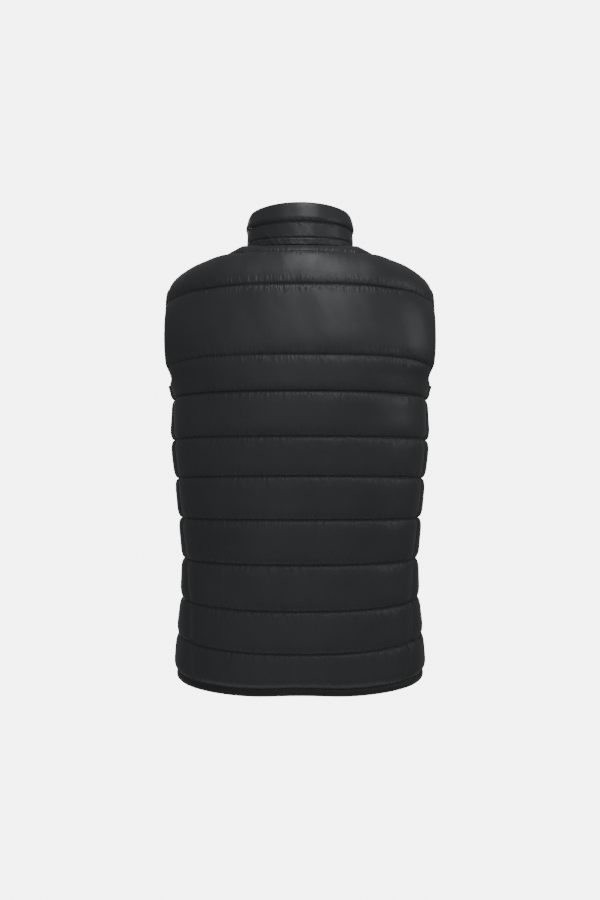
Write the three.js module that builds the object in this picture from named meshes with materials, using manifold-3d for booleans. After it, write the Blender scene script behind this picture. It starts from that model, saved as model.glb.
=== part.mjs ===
// A quilted puffer vest, zipped up, in the hollow shape it has when worn.
// Millimetres, +Z up, front towards -Y, wearer's left towards +X.
// The origin is at the centre of the neck opening, level with the collar seam on the shoulders.
import * as THREE from "three";
import Module from "manifold-3d";

const manifold = await Module();
manifold.setup();

// Driving dimensions of the quilted wall.
const SEAM_THICKNESS = 3; // wall at a quilting line
const LOFT = 8.5; // how far the filling lifts the outer cloth between two lines
const FULL_BAND = 62; // band height at which the loft is reached
const HIGHEST_BAND = 1.2; // loft grows no more in bands this many times as high
const BAND_POWER = 0.8; // how fast the loft grows with the height of its band
const CREST_POWER = 2.8; // how broad the crest of a band is
const SEAM_GAP = 0.3; // clearance between two pieces at a seam
const ZIP_EDGE_X = 8; // half the gap between the two front edges

// The neckline and the shoulder seam.
const NECK = { halfWidth: 79, midY: -6, backReach: 72, frontReach: 87 };
const NECK_Z = { shoulder: -9, backDrop: 9, frontDrop: 76, frontPower: 2.1 };
const SHOULDER = { length: 116, tipY: -4, drop: 59, dip: 3 };
const NECK_SHARE = 0.3; // share of a panel's columns that end at the neckline

// The collar, measured from the neckline seam up.
const COLLAR = { backTop: 50, sideTop: 48.5, frontTop: -22, frontPower: 1.85, seamGap: 0.7 };
const COLLAR_INSET = { depth: 7.5, share: 1, straightFrom: 150 }; // it leans in, but not at the zip

// One row for each quilting line, from the hem up: its height at the centre back, at the side and at the
// centre front, the inner wall's half-width and reach, and the angle from the centre back of the side seam.
const LEVELS = [
  { backZ: -661.7, sideZ: -648, frontZ: -633, halfWidth: 181, backY: 110, frontY: -122, seam: 54 },
  { backZ: -612, sideZ: -595, frontZ: -585, halfWidth: 177, backY: 107, frontY: -120, seam: 57 },
  { backZ: -553, sideZ: -541, frontZ: -533, halfWidth: 171.5, backY: 103, frontY: -118, seam: 64 },
  { backZ: -487.7, sideZ: -482.6, frontZ: -478, halfWidth: 170, backY: 102, frontY: -117, seam: 71 },
  { backZ: -423.4, sideZ: -421.5, frontZ: -419, halfWidth: 175.5, backY: 105, frontY: -119, seam: 73 },
  { backZ: -361.2, sideZ: -362.4, frontZ: -362, halfWidth: 181.5, backY: 110, frontY: -122, seam: 74 },
  { backZ: -305, sideZ: -305, frontZ: -306, halfWidth: 187.5, backY: 115, frontY: -125, seam: 73 },
  { backZ: -241.5, sideZ: -243, frontZ: -246, halfWidth: 187.5, backY: 118, frontY: -126, seam: 78 },
  { backZ: -190.4, sideZ: -191.5, frontZ: -194, halfWidth: 207, backY: 118, frontY: -125 },
  { backZ: -87.7, sideZ: -96, frontZ: -118, halfWidth: 214, backY: 104, frontY: -110 },
];
const RING_POWER = 2.4; // how square the rings are, where 2 is an ellipse
const TOP_RING_SHIFT = { back: -40, front: 30 }; // moves the top ring's centre and squares its sides

// The armhole starts this share of the way from level 7 to level 8, at its own angle, and these are the
// angles of its back and front edges above.
const ARMHOLE_START = 0.5;
const ARMHOLE_ANGLE = 82;
const ARMHOLE_EDGES = { back: [68, 66], front: [110, 114] };
const TOP_LEVEL = LEVELS.length + 1; // level 9 is the top ring, 10 the yoke line and 11 the upper edge

// The yoke line is level, and runs out just short of the upper edge where that lies lower.
const BACK_YOKE_Z = -33;
const FRONT_YOKE_Z = -62;
const YOKE_LIMIT = 0.94;
const YOKE_SHARPNESS = 9; // how suddenly it runs out

// How round the rolled top is at the centre line, and the share of the columns where it is fully round.
const ROLL = { backCentre: 0.35, frontCentre: 0.25, fullFrom: 0.45 };

// Steps inside a band of the outer wall, as shares of its height.
const PLAIN_BAND = [0, 0.13, 0.5, 0.87];
const BAND_STEPS = Array.from({ length: TOP_LEVEL }, () => PLAIN_BAND);
BAND_STEPS[7] = [0, 0.13, 0.3, ARMHOLE_START, 0.53, 0.58, 0.66, 0.76, 0.88];
BAND_STEPS[8] = [0, 0.09, 0.28, 0.5, 0.72, 0.91];
BAND_STEPS[10] = [0, 0.35, 0.7, 0.9];
const FULL_INNER_FROM = 7; // the inner wall has only the lines below this level, and every step above

// Columns from the centre line to the side, closer together beside the edges.
const BACK_NECK_COLUMNS = [0, 0.05, 0.1, 0.15, 0.2, 0.25];
const FRONT_NECK_COLUMNS = [0, 0.03, 0.07, 0.115, 0.16, 0.205, 0.24, 0.27];
const SIDE_COLUMNS = [NECK_SHARE, 0.4, 0.5, 0.6, 0.7, 0.79, 0.87, 0.94, 1];
const BACK_HALF_COLUMNS = [...BACK_NECK_COLUMNS, ...SIDE_COLUMNS];
const FRONT_COLUMNS = [...FRONT_NECK_COLUMNS, ...SIDE_COLUMNS];

const rad = THREE.MathUtils.degToRad;
const lerp = THREE.MathUtils.lerp;
const clamp = THREE.MathUtils.clamp;
const point = (x, y, z) => new THREE.Vector3(x, y, z);
const mirrored = (p) => point(-p.x, p.y, p.z);

// A smooth curve through a column of the table, with the heights at the centre back as its knots.
function atLevel(column, level) {
  const i = clamp(Math.floor(level), 0, LEVELS.length - 2);
  const knot = (k) => LEVELS[clamp(k, 0, LEVELS.length - 1)].backZ;
  const value = (k) => LEVELS[clamp(k, 0, LEVELS.length - 1)][column];
  const slope = (k) => (value(k + 1) - value(k - 1)) / (knot(k + 1) - knot(k - 1));
  const t = level - i;
  const span = knot(i + 1) - knot(i);
  const t2 = t * t;
  const t3 = t2 * t;
  return (
    (2 * t3 - 3 * t2 + 1) * value(i) +
    (t3 - 2 * t2 + t) * span * slope(i) +
    (3 * t2 - 2 * t3) * value(i + 1) +
    (t3 - t2) * span * slope(i + 1)
  );
}

// The angle at which a panel ends: at the side seam, then round the bottom of the armhole and up its side.
function edgeAngle(side, level) {
  const start = 7 + ARMHOLE_START;
  const [low, high] = ARMHOLE_EDGES[side];
  if (level <= 7) return lerp(LEVELS[Math.floor(level)].seam, LEVELS[Math.ceil(level)].seam, level % 1);
  if (level <= start) return lerp(LEVELS[7].seam, ARMHOLE_ANGLE, (level - 7) / ARMHOLE_START);
  if (level >= 8) return lerp(low, high, clamp(level - 8, 0, 1));
  const t = (level - start) / (8 - start);
  return lerp(ARMHOLE_ANGLE, low, Math.sqrt(1 - (1 - t) ** 2));
}

// A point of the ring at a level. The angle runs from the centre back, 0, to the centre front, 180.
function ringPoint(level, angle) {
  const bend = 2 / RING_POWER;
  const s = Math.sin(rad(angle));
  const c = Math.cos(rad(angle));
  const reach = atLevel(c >= 0 ? "backY" : "frontY", level);
  const mid = clamp(level - 8, 0, 1) ** 2 * (c >= 0 ? TOP_RING_SHIFT.back : TOP_RING_SHIFT.front);
  const backZ = atLevel("backZ", level);
  const sideZ = atLevel("sideZ", level);
  const frontZ = atLevel("frontZ", level);
  const waist = ((backZ + frontZ) / 2 - sideZ) / 2;
  return point(
    atLevel("halfWidth", level) * Math.abs(s) ** bend * Math.sign(s),
    mid + (reach - mid) * Math.abs(c) ** bend,
    sideZ + waist + ((backZ - frontZ) / 2) * c + waist * Math.cos(rad(2 * angle)),
  );
}

// The direction out of a ring's cloth.
function ringOut(level, angle) {
  const step = 0.01;
  const round = ringPoint(level, angle + 1).sub(ringPoint(level, angle - 1));
  const up = ringPoint(level + step, angle).sub(ringPoint(level - step, angle));
  return up.cross(round).normalize();
}

// The neckline seam. The angle runs from the centre back, 0, to the centre front, 180.
function neckPoint(angle) {
  const s = Math.sin(rad(angle));
  const c = Math.cos(rad(angle));
  const reach = c >= 0 ? NECK.backReach : NECK.frontReach;
  const drop = c >= 0 ? NECK_Z.backDrop * c * c : NECK_Z.frontDrop * Math.abs(c) ** NECK_Z.frontPower;
  return point(NECK.halfWidth * s, NECK.midY + reach * c, NECK_Z.shoulder - drop);
}
const NECK_FRONT_ANGLE = 180 - THREE.MathUtils.radToDeg(Math.asin(ZIP_EDGE_X / NECK.halfWidth));

// The shoulder seam, from the collar, 0, to the armhole, 1.
function shoulderPoint(share) {
  return point(
    NECK.halfWidth + SHOULDER.length * share,
    lerp(NECK.midY, SHOULDER.tipY, share),
    NECK_Z.shoulder - SHOULDER.drop * share - SHOULDER.dip * Math.sin(2 * Math.PI * share),
  );
}

// The rolled stretch from the last ring to the upper edge.
function rollPoint(from, to, share, straightness) {
  const turn = (share * Math.PI) / 2;
  const y = lerp(to.y + (from.y - to.y) * Math.cos(turn), lerp(from.y, to.y, share), straightness);
  const z = lerp(from.z + (to.z - from.z) * Math.sin(turn), lerp(from.z, to.z, share), straightness);
  return point(lerp(from.x, to.x, share), y, z);
}

// The share of the roll at a level: the yoke line, level 10, lies where the roll reaches its height.
function rollShare(from, to, straightness, yokeZ, level) {
  const halvings = 24;
  let [low, high] = [0, 1.5];
  for (let i = 0; i < halvings; i++) {
    const middle = (low + high) / 2;
    if (rollPoint(from, to, middle, straightness).z < yokeZ && middle < 1) low = middle;
    else high = middle;
  }
  const yoke = (low ** -YOKE_SHARPNESS + YOKE_LIMIT ** -YOKE_SHARPNESS) ** (-1 / YOKE_SHARPNESS);
  return level <= 10 ? yoke * (level - 9) : yoke + (1 - yoke) * (level - 10);
}

// The inner face of the back on the wearer's left: across runs from the centre back, 0, to the edge, 1.
function backInner(across, level) {
  if (across < 0) return mirrored(backInner(-across, level));
  if (level <= 9) return ringPoint(level, across * edgeAngle("back", level));
  const from = ringPoint(9, across * edgeAngle("back", 9));
  const beside = clamp(across / NECK_SHARE, 0, 1);
  const to = beside < 1 ? neckPoint(90 * beside) : shoulderPoint((across - NECK_SHARE) / (1 - NECK_SHARE));
  const straightness = (1 - ROLL.backCentre) * (1 - Math.min(across / ROLL.fullFrom, 1) ** 2);
  return rollPoint(from, to, rollShare(from, to, straightness, BACK_YOKE_Z, level), straightness);
}

// How far the front edge is from the centre front, as an angle.
function frontStart(level) {
  const share = ZIP_EDGE_X / atLevel("halfWidth", level);
  return THREE.MathUtils.radToDeg(Math.asin(share ** (RING_POWER / 2)));
}

// The inner face of the left front: across runs from the front edge, 0, to the side, 1.
function frontInner(across, level) {
  const ring = (l) => ringPoint(l, lerp(180 - frontStart(l), edgeAngle("front", l), across));
  if (level <= 9) return ring(level);
  const beside = clamp(across / NECK_SHARE, 0, 1);
  const onNeck = () => neckPoint(lerp(NECK_FRONT_ANGLE, 90, beside));
  const to = beside < 1 ? onNeck() : shoulderPoint((across - NECK_SHARE) / (1 - NECK_SHARE));
  const straightness = (1 - ROLL.frontCentre) * (1 - Math.min(across / ROLL.fullFrom, 1) ** 2);
  return rollPoint(ring(9), to, rollShare(ring(9), to, straightness, FRONT_YOKE_Z, level), straightness);
}

// The direction out of the cloth, from two short steps along the surface. The back and the front have
// their columns running opposite ways round the body.
function outwards(surface, across, level) {
  const step = 0.004;
  const onBack = surface === backInner;
  if (level < LEVELS.length - 1) {
    const first = onBack ? 0 : 180 - frontStart(level);
    return ringOut(level, lerp(first, edgeAngle(onBack ? "back" : "front", level), across));
  }
  const low = Math.min(level, TOP_LEVEL - step);
  const alongAcross = surface(across + step, low).sub(surface(across - step, low));
  const alongLevel = surface(across, low + step).sub(surface(across, low - step));
  return alongAcross.cross(alongLevel).setLength(onBack ? -1 : 1);
}

// Close to the upper edge the wall turns from its own direction to that of the seam.
const MITRE_REACH = 24;

// At the neckline both the panel's edge and the collar's edge stand along this one direction.
function neckMitre(angle) {
  const [surface, side] = angle <= 90 ? [backInner, 0] : [frontInner, NECK_FRONT_ANGLE];
  const across = clamp(((angle - side) / (90 - side)) * NECK_SHARE, 0, NECK_SHARE);
  return outwards(surface, across, TOP_LEVEL).add(collarOut(angle)).normalize();
}

// At the shoulder seam the back and the front stand along this one direction.
function shoulderMitre(share) {
  const step = 0.01;
  const along = shoulderPoint(share + step).sub(shoulderPoint(share - step));
  return point(-along.z, 0, along.x).normalize();
}

// The swell from one line, 0, to the next, 1.
const swell = (t) => 1 - Math.abs(2 * t - 1) ** CREST_POWER;

// It eases off early towards the upper edge, which leaves room for the collar.
const UPPER_EASE = { steepness: 2, power: 1 };
const upperEase = (level) => Math.min(1, (TOP_LEVEL - level) * UPPER_EASE.steepness) ** UPPER_EASE.power;

// Beside an edge the swell falls to the edge's own share, the floor, over a stated width.
const pinchAt = (distance, { floor, width }) =>
  lerp(floor, 1, Math.sqrt(1 - (1 - clamp(distance / width, 0, 1)) ** 2));

// How high the cloth stands over a quilting line: nothing on the line, and the full loft between two lines.
function puff(surface, across, level, edges) {
  const band = Math.min(Math.floor(level), TOP_LEVEL - 1);
  const height = surface(across, band).distanceTo(surface(across, band + 1));
  const here = surface(across, level);
  const pinch = Math.min(...edges.map((edge) => pinchAt(here.distanceTo(surface(edge.at, level)), edge)));
  const full = LOFT * Math.min(height / FULL_BAND, HIGHEST_BAND) ** BAND_POWER;
  return full * swell(level - band) * upperEase(level) * pinch;
}

// The rows of a panel: each with its level, and whether the inner wall keeps it.
function panelRows() {
  const rows = [];
  BAND_STEPS.forEach((steps, band) =>
    steps.forEach((t, k) => rows.push({ level: band + t, inner: k === 0 || band >= FULL_INNER_FROM })),
  );
  rows.push({ level: TOP_LEVEL, inner: true });
  return rows;
}
const ROWS = panelRows();
const ARMHOLE_ROW = ROWS.findIndex((row) => Math.abs(row.level - 7 - ARMHOLE_START) < 1e-9);

// Moves the points on a grid's rim half a seam gap back from the seam, along the cloth.
function pullIn(grid, keepFirstColumn) {
  const last = grid.length - 1;
  const end = grid[0].length - 1;
  const nudge = (cell, neighbour) => {
    const d = neighbour.inner.clone().sub(cell.inner);
    d.addScaledVector(cell.out, -d.dot(cell.out)).setLength(SEAM_GAP / 2);
    cell.shift.add(d);
  };
  grid.forEach((row, r) =>
    row.forEach((cell, c) => {
      if (r === 0) nudge(cell, grid[1][c]);
      if (r === last) nudge(cell, grid[last - 1][c]);
      if (c === 0 && !keepFirstColumn) nudge(cell, row[1]);
      if (c === end) nudge(cell, row[end - 1]);
    }),
  );
  grid.flat().forEach((cell) => cell.inner.add(cell.shift));
  return grid;
}

// A panel as a grid of cells: the inner point, the direction out and the thickness there.
function panelGrid(surface, columns, edges, neckAngle) {
  const direction = (across, level) => {
    const n = outwards(surface, across, level);
    const toEdge = surface(across, level).distanceTo(surface(across, TOP_LEVEL));
    if (toEdge >= MITRE_REACH) return n;
    const onShoulder = (across - NECK_SHARE) / (1 - NECK_SHARE);
    const mitre = onShoulder <= 0 ? neckMitre(neckAngle(across)) : shoulderMitre(onShoulder);
    return mitre.lerp(n, toEdge / MITRE_REACH).normalize();
  };
  return ROWS.map(({ level }) =>
    columns.map((across) => ({
      inner: surface(across, level),
      out: across < 0 ? mirrored(direction(-across, level)) : direction(across, level),
      thickness: SEAM_THICKNESS + puff(surface, across, level, edges),
      shift: point(0, 0, 0),
    })),
  );
}

// A closed wall between an outer grid and an inner one that keeps some of its rows.
function wall(grid, keptRows) {
  const columns = grid[0].length;
  const vertices = [];
  const faces = [];
  const add = (p) => vertices.push(p) - 1;
  const raised = (cell) => cell.inner.clone().addScaledVector(cell.out, cell.thickness);
  const outer = grid.map((row) => row.map((cell) => add(raised(cell))));
  const inner = keptRows.map((r) => grid[r].map((cell) => add(cell.inner)));
  // A grid that spans both sides of the vest has its faces cut the mirrored way on the wearer's right.
  const spansBoth = grid[0][0].inner.x * grid[0][columns - 1].inner.x < 0;
  const quad = (c, [a, b, d, e]) => {
    if (spansBoth && c < (columns - 1) / 2) faces.push([b, d, e], [b, e, a]);
    else faces.push([a, b, d], [a, d, e]);
  };
  const skin = (rows, r) => {
    const [low, high] = [rows[r], rows[r + 1]];
    for (let c = 0; c < columns - 1; c++) quad(c, [low[c], low[c + 1], high[c + 1], high[c]]);
  };
  const lining = inner.map((row) => [...row].reverse());
  for (let r = 0; r < grid.length - 1; r++) skin(outer, r);
  for (let k = 0; k < keptRows.length - 1; k++) {
    skin(lining, k);
    for (const [c, first] of [[0, true], [columns - 1, false]]) {
      const tri = (a, b, d) => faces.push(first ? [a, b, d] : [b, a, d]);
      for (let r = keptRows[k]; r < keptRows[k + 1]; r++) tri(inner[k][c], outer[r][c], outer[r + 1][c]);
      tri(inner[k][c], outer[keptRows[k + 1]][c], inner[k + 1][c]);
    }
  }
  const top = grid.length - 1;
  const topInner = keptRows.length - 1;
  for (let c = 0; c < columns - 1; c++) {
    quad(c, [inner[0][c], inner[0][c + 1], outer[0][c + 1], outer[0][c]]);
    quad(c, [outer[top][c], outer[top][c + 1], inner[topInner][c + 1], inner[topInner][c]]);
  }
  return bodyOf(vertices, faces);
}

// A tube of rounded section through stations that each have a middle and two half-axes.
function tube(stations, sides, closed) {
  const vertices = [];
  const faces = [];
  stations.forEach(({ middle, wide, deep }) => {
    for (let k = 0; k < sides; k++) {
      const turn = (2 * Math.PI * (k + 0.5)) / sides;
      const p = middle.clone().addScaledVector(wide, Math.cos(turn));
      vertices.push(p.addScaledVector(deep, Math.sin(turn)));
    }
  });
  const n = stations.length;
  for (let i = 0; i < (closed ? n : n - 1); i++)
    for (let k = 0; k < sides; k++) {
      const [a, b] = [i * sides + k, i * sides + ((k + 1) % sides)];
      const [c, d] = [((i + 1) % n) * sides + ((k + 1) % sides), ((i + 1) % n) * sides + k];
      faces.push([a, b, c], [a, c, d]);
    }
  if (!closed)
    for (let k = 1; k < sides - 1; k++) {
      const e = (n - 1) * sides;
      faces.push([0, k + 1, k], [e, e + k, e + k + 1]);
    }
  return bodyOf(vertices, faces);
}

// A geometry from shared vertices, turned so that its faces point out.
function bodyOf(vertices, faces) {
  let volume = 0;
  for (const [a, b, c] of faces)
    volume += vertices[a].dot(vertices[b].clone().cross(vertices[c])) / 6;
  const index = faces.flatMap(([a, b, c]) => (volume < 0 ? [a, c, b] : [a, b, c]));
  const geometry = new THREE.BufferGeometry();
  const positions = vertices.flatMap((v) => v.toArray());
  geometry.setAttribute("position", new THREE.Float32BufferAttribute(positions, 3));
  geometry.setIndex(index);
  geometry.computeVertexNormals();
  return geometry;
}

// The collar. Its angle runs from the centre back, 0, to the zip, and its rise from the neckline, 0, to the
// top, 1. It has three bands, and the top one is rounded over.
const COLLAR_LINES = [0, 0.18, 0.53, 1];
const COLLAR_RISES = [0, 0.09, 0.18, 0.24, 0.355, 0.47, 0.53, 0.6, 0.76, 0.88, 0.96, 1];
const COLLAR_KEPT = [0, 2, 4, 6, 8, 11];
const COLLAR_LOFT = [2.5, 4.5, 8.5];
const COLLAR_TOP = { thickness: 4.5, edgePower: 6, footSteepness: 4.5, footPower: 0.6 };
const COLLAR_ZIP_EDGE = { floor: 0.12, width: 18 };
const backNeckAngle = (across) => (across / NECK_SHARE) * 90;
const frontNeckAngle = (across) => lerp(NECK_FRONT_ANGLE, 90, across / NECK_SHARE);
const COLLAR_ANGLES = [
  ...BACK_NECK_COLUMNS.map(backNeckAngle),
  90,
  ...[...FRONT_NECK_COLUMNS].reverse().map(frontNeckAngle),
];

function collarOut(angle) {
  return point(Math.sin(rad(angle)), Math.cos(rad(angle)), 0).normalize();
}

function collarInner(angle, rise) {
  const base = neckPoint(angle);
  const c = Math.cos(rad(angle));
  const top =
    c >= 0
      ? lerp(COLLAR.sideTop, COLLAR.backTop, c * c)
      : COLLAR.sideTop - (COLLAR.sideTop - COLLAR.frontTop) * Math.abs(c) ** COLLAR.frontPower;
  const t = clamp(rise / COLLAR_INSET.share, 0, 1);
  const { depth, straightFrom } = COLLAR_INSET;
  const upright = clamp((angle - straightFrom) / (NECK_FRONT_ANGLE - straightFrom), 0, 1);
  const p = base.clone().addScaledVector(collarOut(angle), -depth * t * (2 - t) * (1 - upright));
  p.z = lerp(base.z, top, rise);
  return p;
}

function collarThickness(angle, rise) {
  const last = COLLAR_LOFT.length - 1;
  const band = COLLAR_LINES.findIndex((line, i) => rise < COLLAR_LINES[i + 1] || i === last);
  const t = (rise - COLLAR_LINES[band]) / (COLLAR_LINES[band + 1] - COLLAR_LINES[band]);
  const pinch = pinchAt(neckPoint(angle).distanceTo(neckPoint(NECK_FRONT_ANGLE)), COLLAR_ZIP_EDGE);
  const foot = Math.min(1, t * COLLAR_TOP.footSteepness) ** COLLAR_TOP.footPower;
  const rounded = Math.sqrt(1 - t ** COLLAR_TOP.edgePower) * foot;
  const crown = band === last ? rounded : swell(t);
  const rest = band === last ? lerp(SEAM_THICKNESS, COLLAR_TOP.thickness, t) : SEAM_THICKNESS;
  return rest + COLLAR_LOFT[band] * crown * pinch;
}

function collarGrid() {
  const angles = [...COLLAR_ANGLES.slice(1).reverse().map((a) => -a), ...COLLAR_ANGLES];
  const grid = COLLAR_RISES.map((rise) =>
    angles.map((signed) => {
      const angle = Math.abs(signed);
      const flip = signed < 0 ? mirrored : (p) => p;
      const out = rise === 0 ? neckMitre(angle) : collarOut(angle);
      return {
        inner: flip(collarInner(angle, rise)),
        out: flip(out),
        thickness: collarThickness(angle, rise),
      };
    }),
  );
  // Only the neckline edge lies against another piece.
  grid[0].forEach((cell) => cell.inner.setZ(cell.inner.z + COLLAR.seamGap));
  return grid;
}

// Bindings: how far the folded strip reaches past the edge, and how far it stands over and under the cloth.
const BINDING = { armholeReach: 4.1, armholeDepth: 3.8, hemReach: 4.9, hemDepth: 4.1, sides: 8 };

// The stations of a binding along an edge that has the cloth on its right.
function bindingStations(edge, reach, depth, closed) {
  return edge.map((cell, i) => {
    const n = edge.length;
    const before = edge[closed ? (i - 1 + n) % n : Math.max(i - 1, 0)].inner;
    const after = edge[closed ? (i + 1) % n : Math.min(i + 1, n - 1)].inner;
    const along = after.clone().sub(before).normalize();
    const away = along.clone().cross(cell.out).normalize();
    const middle = cell.inner
      .clone()
      .addScaledVector(away, reach + SEAM_GAP)
      .addScaledVector(cell.out, cell.thickness / 2);
    return { middle, wide: away.multiplyScalar(reach), deep: cell.out.clone().multiplyScalar(depth) };
  });
}

// The zip, on the line between the two front edges.
const ZIP = { toothHalf: 2.8, under: 1.3, over: 1.9, tapeThickness: 1, tapeReach: 0.92 };
const SLIDER = { z: -37, halfHeight: 6, halfWidth: 4.8, plate: 1.5, channel: 3.1 };
const BRIDGE = { foot: 4.5, footHalf: 1, gap: 2.4, bar: 1.4, halfWidth: 1.2 };
const PULL = { thickness: 1.4, pinZ: -2.2, ringHalf: 3.4, holeHalf: 1.9, holeLength: 9.2 };
const TONGUE = { half: 4, length: 34, flare: 6, corner: 3 };
const BOX = { halfWidth: 6.2, height: 10, under: 1.5, over: 3.2 };
const ZIP_BOTTOM_LIFT = 1.5;

function boxBetween(low, high) {
  const size = high.clone().sub(low);
  const geometry = new THREE.BoxGeometry(size.x, size.y, size.z);
  geometry.translate((low.x + high.x) / 2, (low.y + high.y) / 2, (low.z + high.z) / 2);
  return geometry;
}

// Joins closed geometries into one.
function joined(...geometries) {
  const solids = geometries.map((g) => {
    const positions = g.getAttribute("position").array;
    const keys = new Map();
    const vertices = [];
    const remap = [];
    for (let i = 0; i < positions.length; i += 3) {
      const key = [0, 1, 2].map((k) => positions[i + k].toFixed(4)).join();
      if (!keys.has(key)) keys.set(key, vertices.push(...positions.slice(i, i + 3)) / 3 - 1);
      remap.push(keys.get(key));
    }
    const order = Array.from(g.index.array);
    return new manifold.Manifold(
      new manifold.Mesh({
        numProp: 3,
        vertProperties: new Float32Array(vertices),
        triVerts: new Uint32Array(order.map((i) => remap[i])),
      }),
    );
  });
  const mesh = solids.reduce((a, b) => a.add(b)).getMesh();
  const geometry = new THREE.BufferGeometry();
  geometry.setAttribute("position", new THREE.BufferAttribute(new Float32Array(mesh.vertProperties), 3));
  geometry.setIndex(new THREE.BufferAttribute(new Uint32Array(mesh.triVerts), 1));
  geometry.computeVertexNormals();
  return geometry;
}

// Materials: one black for all the cloth, and a slightly glossier one for the zip.
const shell = new THREE.MeshStandardMaterial({ color: 0x2e2f30, roughness: 0.62, metalness: 0 });
const trim = new THREE.MeshStandardMaterial({ color: 0x242526, roughness: 0.5, metalness: 0 });
const lacquer = new THREE.MeshStandardMaterial({ color: 0x1c1d1e, roughness: 0.35, metalness: 0.6 });

const vest = new THREE.Group();
function addPiece(name, geometry, material) {
  const mesh = new THREE.Mesh(geometry, material);
  mesh.name = name;
  vest.add(mesh);
  return mesh;
}

// The back and the two fronts.
const BACK_COLUMNS = [...BACK_HALF_COLUMNS.slice(1).reverse().map((a) => -a), ...BACK_HALF_COLUMNS];
const BACK_EDGES = [
  { at: 1, floor: 0.42, width: 24 },
  { at: -1, floor: 0.42, width: 24 },
];
const FRONT_EDGES = [
  { at: 1, floor: 0.42, width: 24 },
  { at: 0, floor: 0.1, width: 17 },
];
const backGrid = pullIn(panelGrid(backInner, BACK_COLUMNS, BACK_EDGES, backNeckAngle), false);
const leftGrid = pullIn(panelGrid(frontInner, FRONT_COLUMNS, FRONT_EDGES, frontNeckAngle), true);
const mirrorGrid = (grid) =>
  grid.map((row) =>
    row.map((cell) => ({ ...cell, inner: mirrored(cell.inner), out: mirrored(cell.out) })),
  );
const rightGrid = mirrorGrid(leftGrid);
const KEPT_ROWS = ROWS.flatMap((row, r) => (row.inner ? [r] : []));
addPiece("back_panel", wall(backGrid, KEPT_ROWS), shell);
addPiece("front_left_panel", wall(leftGrid, KEPT_ROWS), shell);
addPiece("front_right_panel", wall(rightGrid, KEPT_ROWS), shell);

// The collar.
const collar = collarGrid();
addPiece("collar", wall(collar, COLLAR_KEPT), shell);

// The armhole bindings: up the back edge and down the front edge.
const backEdge = backGrid.slice(ARMHOLE_ROW).map((row) => row[row.length - 1]);
const frontEdge = leftGrid.slice(ARMHOLE_ROW + 1, -1).map((row) => row[row.length - 1]).reverse();
const leftLoop = [...backEdge, ...frontEdge].reverse();
const leftStations = bindingStations(leftLoop, BINDING.armholeReach, BINDING.armholeDepth, true);
const rightStations = leftStations.map(({ middle, wide, deep }) => ({
  middle: mirrored(middle),
  wide: mirrored(wide),
  deep: mirrored(deep),
}));
addPiece("armhole_binding_left", tube(leftStations, BINDING.sides, true), trim);
addPiece("armhole_binding_right", tube(rightStations, BINDING.sides, true), trim);

// The hem binding, from one front edge round the back to the other.
const hemEdge = [
  ...leftGrid[0].slice(0, -1),
  ...[...backGrid[0]].reverse(),
  ...[...rightGrid[0].slice(0, -1)].reverse(),
];
const hemStations = bindingStations(hemEdge, BINDING.hemReach, BINDING.hemDepth, false);
addPiece("hem_binding", tube(hemStations, BINDING.sides, false), trim);

// The zip follows the left front edge and the collar's edge.
const collarEnd = collar[0].length - 1;
const zipRows = [
  ...KEPT_ROWS.slice(0, -1).map((r) => leftGrid[r].slice(0, 2)),
  ...COLLAR_KEPT.slice(1).map((r) => [collar[r][collarEnd], collar[r][collarEnd - 1]]),
].map(([edge, next]) => ({ edge, next }));
const zipBottom = zipRows[0].edge.inner.z + ZIP_BOTTOM_LIFT;

function tapeGrid() {
  return zipRows.map(({ edge, next }, i) => {
    const near = edge.inner.clone();
    near.x = ZIP.toothHalf + SEAM_GAP;
    const far = edge.inner.clone().lerp(next.inner, ZIP.tapeReach);
    return [near, edge.inner.clone(), far].map((p, k) => {
      const out = (k === 2 ? next.out : edge.out).clone();
      out.z = 0;
      out.normalize();
      const q = p.clone().addScaledVector(out, -(SEAM_GAP + ZIP.tapeThickness));
      if (i === 0) q.z += ZIP_BOTTOM_LIFT;
      return { inner: q, out, thickness: ZIP.tapeThickness };
    });
  });
}
const tape = tapeGrid();
const tapeRows = tape.map((_, i) => i);
addPiece("zip_tape_left", wall(tape, tapeRows), trim);
addPiece("zip_tape_right", wall(mirrorGrid(tape), tapeRows), trim);

const chain = zipRows.map(({ edge }, i) =>
  [-ZIP.toothHalf, ZIP.toothHalf].map((x) => ({
    inner: point(x, edge.inner.y + ZIP.under, edge.inner.z + (i === 0 ? ZIP_BOTTOM_LIFT : 0)),
    out: point(0, -1, 0),
    thickness: ZIP.under + ZIP.over,
  })),
);
addPiece("zip_chain", wall(chain, tapeRows), trim);

// The box at the foot of the zip, between the two ends of the hem binding.
const footY = zipRows[0].edge.inner.y;
addPiece(
  "zip_box",
  boxBetween(
    point(-BOX.halfWidth, footY - BOX.over, zipBottom - SEAM_GAP - BOX.height),
    point(BOX.halfWidth, footY + BOX.under, zipBottom - SEAM_GAP),
  ),
  lacquer,
);

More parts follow.
